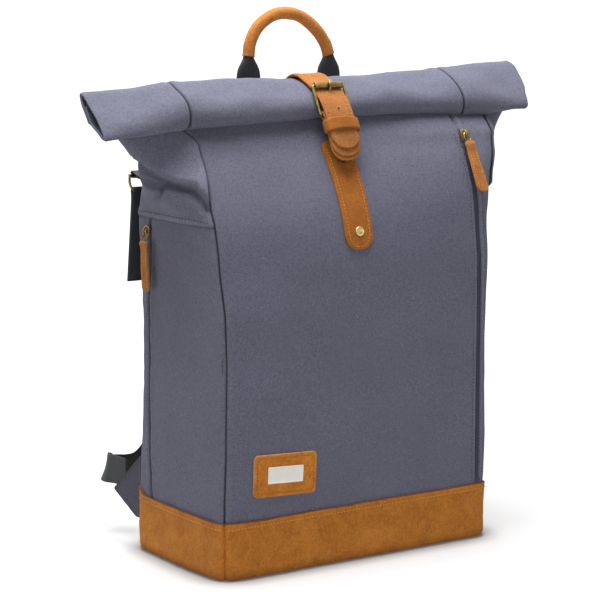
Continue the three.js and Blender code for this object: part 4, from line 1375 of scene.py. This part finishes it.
def runner_frame(prefix):
    """The middle of a zip pull's CAD leather, with the directions along, across and off it."""
    places = places_of(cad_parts[f"{prefix}_pull"])
    thin, _, long = np.linalg.eigh(np.cov((places - places.mean(axis=0)).T))[1].T
    long = long * (1 if long[2] > 0 else -1)
    outwards = (0, -1, 0) if prefix == "front" else (-1, 0, 0)
    thin = thin * (1 if thin @ outwards > 0 else -1)
    return (places.min(axis=0) + places.max(axis=0)) / 2, long, np.cross(long, thin), thin


def suede_pull(prefix):
    """A doubled suede pull: a loop round the link at the top and two plies sewn together below."""
    centre, long, wide, off = runner_frame(prefix)
    half_length = 27.0 if prefix == "front" else 24.4
    shares = np.linspace(-1, 1, 90)
    line = centre + (PULL_TOP - half_length) * long + shares[:, None] * half_length * long
    line = line + off * (1.4 * bump(shares - 0.9, 0.28) + 0.9 * bump(shares - 0.2, 0.5) - 0.5)[:, None]
    width = round_ends((shares + 1) * half_length, 2 * half_length, 7.2, first=6.5, last=3.5)
    width = width * np.interp(shares, [-1, -0.2, 0.5, 0.74, 0.9, 1], [1, 0.95, 0.84, 0.8, 0.86, 0.84])
    thick = np.interp(shares, [-1, 0.6, 0.85, 1], [2.4, 2.8, 4.4, 3.6])
    rings = [place_section(spot, strap_section(w, min(t, 1.9 * w)), wide, off)
             for spot, w, t in zip(line, width, thick)]
    piece = loft(f"{prefix}_pull_leather", rings, SUEDE_STRAP)
    ruffle(piece, 0.35, 8, 61)
    attach(piece, f"{prefix}_zip_pull", "suede", f"{prefix}_pull")
    skin = Skin(piece)
    for side, label in ((-1, "a"), (1, "b")):
        row = line[8:70] + off * 3 + wide * side * (width[8:70] - 2.2)[:, None]
        sew(f"{prefix}_pull_stitches_{label}", skin, row, f"{prefix}_zip_pull", THREAD_TAN, "suede",
            2.8, 0.36, outwards=off)


def zip_metal(prefix):
    """A cast slider with a bridge on top, and the pear-shaped link that hangs from it."""
    long, wide, off = runner_frame(prefix)[1:]
    low, high = cad(f"{prefix}_link")
    outline = rounded_rectangle(3.5, 4.2, 2.6)
    outline[:, 0] *= np.interp(outline[:, 1], [-4.2, 4.2], [1.15, 0.8])
    link = wire_loop(f"{prefix}_link_ring", (low + high) / 2, wide, long, outline, 0.75, BRASS)
    attach(link, f"{prefix}_zip_pull", "antique_brass", f"{prefix}_link")

    low, high = cad(f"{prefix}_slider")
    face = off * (np.abs(off) > 0.5)
    up = unit(long - face * (long @ face))
    across = unit(np.cross(up, face))
    foot = (low + high) / 2 - face * 0.9
    right = [(1.6, 5.8), (4.6, 4.6), (4.4, 0.5), (3.2, -3.8), (1.8, -5.6)]
    left = [(-x, z) for x, z in right[::-1]]
    outline = spline(left[-2:] + right + left[:-2], 40, closed=True)
    steps = ((0.85, -1.6), (1.0, -1.1), (1.0, 0.1), (0.9, 0.5), (0.6, 0.75), (0.05, 0.85))
    rings = np.array([place_section(foot + face * height, size * outline, across, up)
                      for size, height in steps])
    faces = grid_faces(*rings.shape[:2], wrap_columns=True)
    faces.append(list(range(rings.shape[1])))
    body = make_mesh(f"{prefix}_slider_body", rings, faces, [BRASS])
    attach(body, f"{prefix}_zip_slider", "antique_brass", f"{prefix}_slider")
    arch = spline([foot + up * 4.2 + face * 0.9, foot + up * 3.2 + face * 3.0, foot + face * 3.6,
                   foot - up * 2.8 + face * 2.6, foot - up * 3.6 + face * 0.9], 30)
    bridge = rod(f"{prefix}_slider_bridge", arch, circle(1.0, 12, 0.8), BRASS, up=across)
    attach(bridge, f"{prefix}_zip_slider", "antique_brass")


# ---------------------------------------------------------------- patch

PATCH_TURN = 2.6                 # both are sewn on a little off level, in degrees
PLATE_TURN = 3.3


def sewn_turned(places, centre, degrees):
    """Turns points a little in the plane of the bag's front."""
    angle = math.radians(degrees)
    off = places - centre
    turned = off.copy()
    turned[..., 0] = off[..., 0] * math.cos(angle) + off[..., 2] * math.sin(angle)
    turned[..., 2] = off[..., 2] * math.cos(angle) - off[..., 0] * math.sin(angle)
    return turned + centre


def facing_front(outline, centre, y):
    """A flat (x, z) outline about a centre, set up at one Y."""
    return np.column_stack([centre[0] + outline[:, 0], np.full(len(outline), y), centre[2] + outline[:, 1]])


def front_patch():
    low, high = PATCH_LOW - [5, 0, -4.5], PATCH_HIGH + [0, 0, 4.5]
    centre, half = (low + high) / 2, (high - low) / 2
    rows = []
    for shrink, depth in ((0.0, 2.3), (0.0, 0.7), (0.35, 0.2), (1.0, 0.0), (3.0, 0.25), (6.5, 0.1)):
        inner = rounded_rectangle(half[0] - shrink, half[2] - shrink, max(5.0 - shrink, 1.0), 12)
        rows.append(facing_front(inner, centre, low[1] + depth))
    for scale in (0.7, 0.45, 0.2, 0.02):
        rows.append(facing_front(inner * scale, centre, low[1] + depth))
    points = sewn_turned(np.array(rows), centre, PATCH_TURN)
    faces = [f[::-1] for f in grid_faces(*points.shape[:2], wrap_columns=True)]
    kinds = [int(i < 2 * points.shape[1]) for i in range(len(faces))]
    piece = make_mesh("patch_leather", points, faces, [SUEDE_PATCH, SUEDE_EDGE], kinds)
    ruffle(piece, 0.3, 12, 71)
    attach(piece, "bag", "suede", "patch")
    row = rounded_rectangle(half[0] - 3.3, half[2] - 3.3, 3.0, 12)
    line = facing_front(np.vstack([row, row[:1]]), centre, low[1] - 2)
    line = sewn_turned(line, centre, PATCH_TURN)
    sew("patch_stitches", Skin(piece), line, "bag", THREAD_BROWN, "suede", 2.9, 0.36,
        lift=0.0, outwards=(0, -1, 0))


def patch_plate():
    """A plain metal plate with a narrow raised rim."""
    low, high = PLATE_LOW - [3.5, 0, -5], PLATE_HIGH - [2, 0, -7]
    centre, half = (low + high) / 2, (high - low) / 2
    rows = []
    for shrink, depth in ((0.3, 1.2), (0.0, 0.9), (0.0, 0.3), (0.25, 0.05), (0.7, 0.0), (1.1, 0.05),
                          (1.4, 0.3), (1.8, 0.38), (3.0, 0.38)):
        inner = rounded_rectangle(half[0] - shrink, half[2] - shrink, max(1.2 - shrink * 0.4, 0.3), 8)
        rows.append(facing_front(inner, centre, low[1] + depth))
    points = sewn_turned(np.array(rows), centre, PLATE_TURN)
    columns = points.shape[1]
    faces = [f[::-1] for f in grid_faces(*points.shape[:2], wrap_columns=True)]
    faces.append([(len(rows) - 1) * columns + c for c in reversed(range(columns))])
    faces.append(list(range(columns)))
    piece = make_mesh("patch_plate_metal", points, faces, [STEEL])
    attach(piece, "bag", "plate_metal", "patch_plate")


# ---------------------------------------------------------------- back: pads, straps, webbing and rings

def mirrored(points, side):
    return np.asarray(points, float) * [side, 1, 1]


def puff(piece, cap):
    """Swells a pad with a cloth simulation, and keeps every point within cap of where it started."""
    remesh = piece.modifiers.new("remesh", "REMESH")
    remesh.mode = "VOXEL"
    remesh.voxel_size = 4 * MM
    even = piece.modifiers.new("even", "SMOOTH")
    even.factor = 0.5
    even.iterations = 8
    apply_modifiers(piece)
    start = places_of(piece)
    swell(piece)
    moved = places_of(piece) - start
    size = np.linalg.norm(moved, axis=1, keepdims=True)
    move_to(piece, start + moved * np.minimum(1, cap / np.maximum(size, 1e-6)))
    subdivide(piece)


def swell(piece, pressure=4.0, frames=20):
    """Blows a closed piece up by a short cloth simulation without gravity."""
    modifier = piece.modifiers.new("cloth", "CLOTH")
    settings = modifier.settings
    settings.use_pressure = True
    settings.uniform_pressure_force = pressure
    settings.effector_weights.gravity = 0
    settings.tension_stiffness = 25
    settings.compression_stiffness = 25
    modifier.point_cache.frame_start = 1
    modifier.point_cache.frame_end = frames
    for step in range(1, frames + 1):
        bpy.context.scene.frame_set(step)
    apply_modifiers(piece)
    bpy.context.scene.frame_set(1)


def apply_modifiers(piece):
    depsgraph = bpy.context.evaluated_depsgraph_get()
    final = bpy.data.meshes.new_from_object(piece.evaluated_get(depsgraph))
    materials = list(piece.data.materials)
    piece.modifiers.clear()
    piece.data = final
    final.materials.clear()
    for material in materials:
        final.materials.append(material)


def subdivide(piece):
    smooth = piece.modifiers.new("smooth", "SUBSURF")
    smooth.levels = smooth.render_levels = 1
    apply_modifiers(piece)
    piece.data.shade_smooth()


def pad_block(name, path, widths, thick, material):
    """A soft block along a line, thinner towards its edges. widths has a direction and a half width each."""
    path = np.asarray(path, float)
    rings = []
    for centre, along, (across, half) in zip(path, tangents(path), widths):
        section = strap_section(half, thick)
        section[:, 1] *= np.interp(np.abs(section[:, 0]) / half, [0, 0.8, 1], [1, 0.86, 0.7])
        rings.append(place_section(centre, section, across, unit(np.cross(along, across))))
    return loft(name, rings, material)


# Right shoulder strap: middle, half width as a vector; the left one is its mirror image.
STRAP_STATIONS = [
    ((48, 89.5, 348), (25, 0, 4)), ((50, 92, 336), (26.5, 0, 4)), ((53, 107, 318), (28, 0, 4)),
    ((61, 122, 285), (28, 0, 7)), ((73, 130, 240), (27, 0, 7)), ((85, 129, 200), (23, 0, 6)),
    ((93.5, 124.5, 170), (16, 0, 4)),
]
WEBBING_STATIONS = [
    ((150, 108, 67), (0, 11.8, -9.2)), ((151, 127, 67), (0, 10, -11)),
    ((151, 145, 65.5), (0, 8, -12.6)), ((146.5, 154.5, 64.5), (-1, 7, -13.2)),
    ((138, 153, 64), (-2, 6, -13.4)), ((124, 147, 64), (-4, 4, -13)),
    ((112, 141, 70), (-7, 3, -11.5)), ((104, 132, 86), (-11, 0, -7)),
    ((101, 124, 106), (-12.5, -1, -4)), ((101.5, 117.6, 130), (-12.5, 0, -2)),
    ((98.6, 117.8, 142), (-12.5, 0, -2)), ((97.6, 118, 151), (-12.5, 0, -2)),
    ((97, 121, 154.6), (-12.5, 0, -2)), ((97.6, 124, 151), (-12.5, 0, -2)),
    ((99, 124.8, 140), (-12.5, 0, -2)), ((101, 127, 130), (-12.5, 0, -2)),
    ((102.5, 129, 121), (-12.5, 0, -2)),
]
COVER_END = [(95, 127.5, 166), (95.8, 124.5, 161.5)]
WEBBING_THICK = 1.4
LOCK = (98, 121, 150)
LOCK_TILT = 9
# Corners of the right wing as (y, z), the X of its middle and half its thickness.
WING = np.array([(76.5, 92), (77, 27), (88, 26.5), (133, 47)])
WING_X = 150.0
WING_THICK = 1.35


def station_lines(stations, side, count):
    """A strap's middle line through its stations, and the direction and size of its half width."""
    places = np.array([mirrored(at, side) for at, _ in stations])
    knots = np.array([half for _, half in stations], float) * [1, side, side]
    run = np.concatenate([[0], np.cumsum(np.linalg.norm(np.diff(places, axis=0), axis=1))])
    reach = np.linspace(0, 1, count) * run[-1]
    half = np.column_stack([np.interp(reach, run, knots[:, k]) for k in range(3)])
    return spline(places, count), unit(half), np.linalg.norm(half, axis=1)


def shoulder_strap(name, side):
    body = f"shoulder_{name}"
    middle, across, half = station_lines(STRAP_STATIONS, side, 50)
    piece = pad_block(f"shoulder_pad_{name}", middle, zip(across, half - 1.6), 6.6, CANVAS_CLOUD)
    puff(piece, 2.4)
    dent_channels(piece, middle, across, half)
    attach(piece, body, "canvas", f"shoulder_strap_{name}")
    skin = Skin(piece)
    out = unit(np.cross(tangents(middle), across))
    out = out * np.sign(out[:, 1:2])
    for label, sign in (("inner", -1), ("outer", 1)):
        row = middle + across * (sign * (half - 4.5))[:, None] + out * 8
        sew(f"shoulder_stitches_{name}_{label}", skin, row[2:-2], body, THREAD_GREY, "canvas",
            3.4, outwards=(0, 1, 0))
    spots = skin.settle(middle[4:] + out[4:] * 9, 0.9, (0, 1, 0))[0]
    spots = np.vstack([spots, [mirrored(at, side) for at in COVER_END]])
    cover = strap(f"shoulder_webbing_{name}", spots, ACROSS, 12.5, WEBBING_THICK, WEBBING, step=3)
    attach(cover, body, "webbing")
    adjuster_webbing(name, side)
    ladder_lock(name, side)


def dent_channels(piece, middle, across, half):
    """Draws the pad in along its two sewn edge lines."""
    places = places_of(piece)
    nearest = np.argmin(np.linalg.norm(places[:, None, :] - middle[None], axis=2), axis=1)
    off = np.einsum("ij,ij->i", places - middle[nearest], across[nearest])
    depth = 0.9 * bump(np.abs(off) - half[nearest] + 4.5, 2.0)
    move_to(piece, places - normals_of(piece) * depth[:, None])


def adjuster_webbing(name, side):
    middle, across, half = station_lines(WEBBING_STATIONS, side, 220)
    rings = []
    for spot, wide, size, along in zip(middle, across, half, tangents(middle)):
        out = unit(np.cross(along, wide))
        section = strap_section(size, WEBBING_THICK)
        rings.append(place_section(spot, section, unit(np.cross(out, along)), out))
    piece = loft(f"strap_webbing_{name}", rings, WEBBING)
    finish_piece(piece, "webbing", f"adjuster_webbing_{name}")
    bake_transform(piece)


def ladder_lock(name, side):
    """A moulded ladder lock: two side rails, three bars and a lifted lip."""
    tilt = math.radians(-side * LOCK_TILT)
    across = np.array([math.cos(tilt), 0, -math.sin(tilt)])
    up = np.array([math.sin(tilt), 0, math.cos(tilt)])
    centre = mirrored(LOCK, side)
    rails = place_section(centre + up * 0.5, rounded_rectangle(15.2, 12.7, 3.0), across, up)
    bar = centre + np.linspace(-14, 14, 20)[:, None] * across
    lip = centre - up * 13.6 + [0, 2.0, 0] + np.linspace(-9, 9, 14)[:, None] * across
    parts = (("frame", rails, rounded_rectangle(1.75, 1.5, 0.7, 4), [f"ladder_lock_{name}"]),
             ("bar", bar, rounded_rectangle(1.9, 1.5, 0.8, 4), []),
             ("lip", lip, rounded_rectangle(2.4, 1.1, 0.8, 4), []))
    for part, path, section, nodes in parts:
        piece = rod(f"ladder_lock_{part}_{name}", path, section, PLASTIC, part == "frame", up=(0, 1, 0))
        attach(piece, f"shoulder_{name}", "plastic", *nodes)


def strap_yoke(name):
    """The pad that the top of a shoulder strap is sewn under."""
    low, high = cad(f"strap_yoke_{name}")
    centre, half = (low + high) / 2, (high - low) / 2
    middle = [(centre[0], back_y(z) + 2.2, z) for z in np.linspace(low[2] + 1, high[2] - 1, 14)]
    piece = pad_block(f"yoke_pad_{name}", middle, [(ACROSS, half[0] - 0.6)] * 14, 2.6, CANVAS_CLOUD)
    subdivide(piece)
    ruffle(piece, 0.4, 18, 81)
    attach(piece, "bag", "canvas", f"strap_yoke_{name}")
    box = rounded_rectangle(half[0] - 4, half[2] - 3, 2)
    row = [(centre[0] + x, back_y(centre[2] + z) + 8, centre[2] + z) for x, z in np.vstack([box, box[:1]])]
    sew(f"yoke_stitches_{name}", Skin(piece), row, "bag", THREAD_GREY, "canvas", outwards=(0, 1, 0))


def back_padding():
    """The padded back: spacer mesh over foam, quilted into two columns of three cells."""
    low, high = cad("back_pad")
    half, tall = (high[0] - low[0]) / 2, high[2] - low[2]
    middle = [(0, back_y(z) + 4.9, z) for z in np.linspace(low[2] + 2, high[2] - 2, 40)]
    piece = pad_block("back_padding", middle, [(ACROSS, half - 2.5)] * 40, 6.5, PAD_MESH)
    puff(piece, 3.0)
    places = places_of(piece)
    x, y, z = places.T
    outer = ramp(y - [back_y(level) for level in z], 3, 6)
    share = (z - low[2]) / tall
    lines = 1.3 * bump(x, 5.0) + 0.7 * bump(np.abs(x) - half + 9, 2.2)
    for level in (1 / 3, 2 / 3):
        lines = lines + bump((share - level) * tall + 0.0016 * x ** 2, 3.0)
    crown = 1.6 * np.abs(np.sin(share * 3 * math.pi)) * np.abs(np.sin(x / half * math.pi))
    places[:, 1] += outer * (crown - 3.4 * np.clip(lines, 0, 1.2))
    move_to(piece, places)
    attach(piece, "bag", "padding", "back_pad")


def wing_outline():
    """The wing's outline as (y, z), with its corners rounded."""
    edge = []
    t = np.linspace(0, 1, 6)[:, None]
    for i, corner in enumerate(WING):
        before = corner + 3 * unit(WING[i - 1] - corner)
        after = corner + 3 * unit(WING[(i + 1) % len(WING)] - corner)
        edge.append((1 - t) ** 2 * before + 2 * t * (1 - t) * corner + t ** 2 * after)
    return walk(np.vstack(edge + [edge[0][:1]]), np.linspace(0, 1, 120, endpoint=False))


def canvas_wing(name, side):
    """A folded canvas triangle sewn into the back corner, which holds the strap's webbing."""
    loop = wing_outline()
    middle = loop.mean(axis=0)
    steps = ((0.02, 0.75), (0.3, 0.8), (0.6, 0.85), (0.84, 0.8), (0.9, 0.7), (0.94, 1.0), (0.985, 0.8),
             (1.0, 0), (0.985, -0.8), (0.94, -1.0), (0.9, -0.7), (0.6, -0.85), (0.02, -0.75))
    points = np.array([np.column_stack([np.full(len(loop), side * WING_X + height * WING_THICK),
                                        middle + (loop - middle) * share]) for share, height in steps])
    points[..., 0] += 0.5 * grain(points, 22, 91)
    faces = grid_faces(*points.shape[:2], wrap_columns=True)
    # The wing takes the darker copy of the canvas: painted shade.
    piece = make_mesh(f"wing_canvas_{name}", points, faces, [CANVAS_PAINTED_SHADE])
    attach(piece, "bag", "canvas", f"wing_{name}")
    skin = Skin(piece)
    path = middle + (np.vstack([loop, loop[:1]]) - middle) * 0.9
    for label, sign in (("out", side), ("in", -side)):
        row = np.column_stack([np.full(len(path), side * WING_X + sign * 6), path])
        sew(f"wing_stitches_{name}_{label}", skin, row, "bag", THREAD_DARK, "canvas", 3.0, 0.3,
            lift=0.05, outwards=(sign, 0, 0))


# Middle of each D-ring's upper bar, and the ring's own size.
RING_AT = (143, 86, 366)
RING_SIZE = (26, 18, 2.4)
RING_WEBBING = 19
RING_BAR = 2.16                  # clear radius round the ring's wire


def corner_ring(name, side):
    width, height, wire = RING_SIZE
    bar = mirrored(RING_AT, side)
    half = width / 2 - wire / 2
    drop = height - wire
    right = [(half - 0.8, 0), (half, -0.8), (half, -drop * 0.55), (half * 0.72, -drop * 0.93),
             (half * 0.35, -drop)]
    left = [(-x, z) for x, z in right[::-1]]
    loop = spline(left[-2:] + right + left[:-2], 64, closed=True)
    path = place_section(bar, loop, ACROSS, (0, 0, 1))
    ring_piece = rod(f"d_ring_wire_{name}", path, circle(wire / 2, 12), BRASS, closed=True, up=(0, 1, 0))
    attach(ring_piece, f"corner_ring_{name}", "antique_brass", f"d_ring_{name}")
    hanging = folded_webbing(bar - [0, 0, drop], (side * 0.07, 0, -1), 88, f"hanging_webbing_{name}")
    attach(hanging, f"corner_ring_{name}", "webbing", f"hanging_strap_{name}")
    tilt = math.radians(98)
    tab = folded_webbing(bar, (0, -math.sin(tilt), math.cos(tilt)), 31, f"d_ring_loop_{name}")
    attach(tab, "bag", "webbing", f"d_ring_tab_{name}")


def folded_webbing(bar, away, reach, name):
    """Webbing folded over a bar that runs along X, its two plies going away from the bar."""
    away = unit(away)
    over = np.cross(ACROSS, away)
    turn = RING_BAR + GAP + WEBBING_THICK / 2
    ply = [(reach, 0.9), (reach * 0.4, 0.9), (turn * 2.4, 1.2)]
    points = [bar + away * along + over * off for along, off in ply]
    for angle in np.radians(np.arange(15, 166, 15)):
        points.append(bar + over * turn * math.cos(angle) - away * turn * math.sin(angle))
    points += [bar + away * along - over * off for along, off in ply[::-1]]
    return strap(name, spline(points, 90), ACROSS, RING_WEBBING / 2, WEBBING_THICK, WEBBING_BLACK, step=2.0)


# ---------------------------------------------------------------- inside

def with_floor(rows, shares):
    """The rows of a bag's wall, with rows for its floor put before them."""
    middle = rows[0].mean(axis=0)
    return np.array([middle + (rows[0] - middle) * s for s in shares] + rows)


def lining_cloth():
    """A cloth bag standing a little inside the canvas, closed at its foot."""
    rows = []
    for z in np.arange(8, 300.1, 8):
        line = ring(max(z, FOOT_Z), -6)[0]
        rows.append(np.column_stack([line, np.full(len(line), z)]))
    points = with_floor(rows, (0.02, 0.4, 0.8))
    points += 0.8 * grain(points, 60, 95)[..., None] * np.array([1, 1, 0.0])
    piece = make_mesh("lining_cloth", points, grid_faces(*points.shape[:2], wrap_columns=True), [LINING])
    thicken(piece, 0.8)
    attach(piece, "bag", "lining", "lining")


def laptop_pocket():
    """A padded sleeve, open at the top, against the back of the lining."""
    low, high = cad("laptop_sleeve")
    middle, half = (low + high) / 2, (high - low) / 2
    line = rounded_rectangle(half[0], half[1], 7, 6) + [middle[0], middle[1] - 1]
    rows = [np.column_stack([line, np.full(len(line), z)]) for z in np.linspace(low[2], high[2], 40)]
    points = with_floor(rows, (0.05, 0.5, 0.9))
    wave = 0.7 * np.sin(points[..., 2] / 12) * (points[..., 2] > low[2] + 4)
    points[..., 1] += wave * np.sign(points[..., 1] - middle[1])
    piece = make_mesh("laptop_pocket", points, grid_faces(*points.shape[:2], wrap_columns=True), [LINING])
    thicken(piece, 3.4)
    attach(piece, "bag", "padding", "laptop_sleeve")


def hidden_hardware():
    """Metal and board inside keep their CAD shapes, with their own materials and softened edges."""
    for node, material in (("base_board", PLASTIC), ("rivet_washer", BRASS),
                           ("snap_stud", BRASS), ("snap_socket", BRASS)):
        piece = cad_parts[node]
        piece.data.materials.clear()
        piece.data.materials.append(material)
        soften = piece.modifiers.new("rounding", "BEVEL")
        soften.width = 0.4 * MM
        soften.segments = 2
        soften.limit_method = "ANGLE"


closure_strap()
chape_leather()
keeper_loop()
buckle()
rivet_cap(lower_strap())
grab_handle()
front_zip()
side_zip()
for prefix in ("front", "side"):
    suede_pull(prefix)
    zip_metal(prefix)
front_patch()
patch_plate()
back_padding()
for name, side in SIDES:
    shoulder_strap(name, side)
    strap_yoke(name)
    canvas_wing(name, side)
    corner_ring(name, side)
lining_cloth()
laptop_pocket()
hidden_hardware()


# ---------------------------------------------------------------- camera, light and floor

def place_facing(thing, place, direction):
    """Links a camera or light into the scene and turns it along a direction. Gives back that turn."""
    turn = direction.to_track_quat("-Z", "Y")
    thing.location = place
    thing.rotation_mode = "QUATERNION"
    thing.rotation_quaternion = turn
    bpy.context.scene.collection.objects.link(thing)
    return turn


def aim_camera():
    azimuth, elevation = math.radians(-34.1), math.radians(8.9)
    back = Vector((math.sin(azimuth) * math.cos(elevation),
                   -math.cos(azimuth) * math.cos(elevation), math.sin(elevation)))
    data = bpy.data.cameras.new("camera")
    data.lens = 132.5
    data.sensor_width = 36
    camera = bpy.data.objects.new("camera", data)
    turn = place_facing(camera, (0, 0, 0), -back)
    camera.location = Vector((0, 0, 0.23)) + back * 2.16 + turn @ Vector((-0.0127, 0.0114, 0))
    bpy.context.scene.camera = camera


def soft_light(name, size, power, place):
    """A rectangular light that shines at the middle of the bag."""
    data = bpy.data.lights.new(name, "AREA")
    data.shape = "RECTANGLE"
    data.size, data.size_y = size
    data.energy = power
    place_facing(bpy.data.objects.new(name, data), place, Vector((0, 0, 0.25)) - Vector(place))


def white_world():
    """White to the camera and in reflections, but a weak light."""
    world = bpy.data.worlds.new("studio")
    world.use_nodes = True
    tree = world.node_tree
    ray = add_node(tree, "ShaderNodeLightPath").outputs
    rays = {0: ray["Is Camera Ray"], 1: ray["Is Glossy Ray"]}
    seen = add_node(tree, "ShaderNodeMath", rays, operation="MAXIMUM").outputs["Value"]
    strength = add_node(tree, "ShaderNodeMapRange", {"To Min": 0.17, "To Max": 1.0, "Value": seen})
    background = tree.nodes["Background"].inputs
    background["Color"].default_value = (1, 1, 1, 1)
    tree.links.new(strength.outputs["Result"], background["Strength"])
    bpy.context.scene.world = world
    bpy.context.scene.view_settings.view_transform = "Standard"


def floor_material():
    """Glows white to the camera, more so further off, with a painted contact shadow where the bag touches
    it.
    """
    s = Shader("floor", 0.9)
    ray = s.add("ShaderNodeLightPath").outputs["Is Camera Ray"]
    distance = s.add("ShaderNodeVectorMath", {0: s.place["Object"]}, operation="LENGTH").outputs["Value"]
    far = s.remap(distance, From_Min=0.35, From_Max=2.0, To_Min=0.4, To_Max=0.95)
    glow = s.math("MULTIPLY", ray, far)
    open_sky = s.add("ShaderNodeAmbientOcclusion", {"Distance": 0.028}).outputs["AO"]
    # Painted contact shadow: darker on the floor where the bag's foot blocks the sky.
    painted_contact_shadow = s.remap(open_sky, From_Min=0.5, From_Max=0.97, To_Min=0.25, To_Max=1.0)
    s.surface["Emission Color"].default_value = (1, 1, 1, 1)
    s.join(s.math("MULTIPLY", glow, painted_contact_shadow), s.surface["Emission Strength"])
    # The painted contact shadow turns the floor brown-grey at the bag's foot.
    s.colour(s.mix(painted_contact_shadow, (0.2, 0.17, 0.15), (0.62, 0.62, 0.62)))
    return s.material


def studio():
    """A white floor: it looks white to the camera, but sends little light back up at the bag."""
    white_world()
    half = 30.0
    mesh = bpy.data.meshes.new("floor")
    corner_places = [(-half, -half, 0), (half, -half, 0), (half, half, 0), (-half, half, 0)]
    mesh.from_pydata(corner_places, [], [(0, 1, 2, 3)])
    mesh.materials.append(floor_material())
    floor = bpy.data.objects.new("floor", mesh)
    bpy.context.scene.collection.objects.link(floor)

    soft_light("overhead", (1.8, 1.2), 62, (-0.15, 0.12, 2.1))
    soft_light("front_fill", (1.6, 1.6), 6, (-1.2, -2.4, 0.7))


aim_camera()
studio()
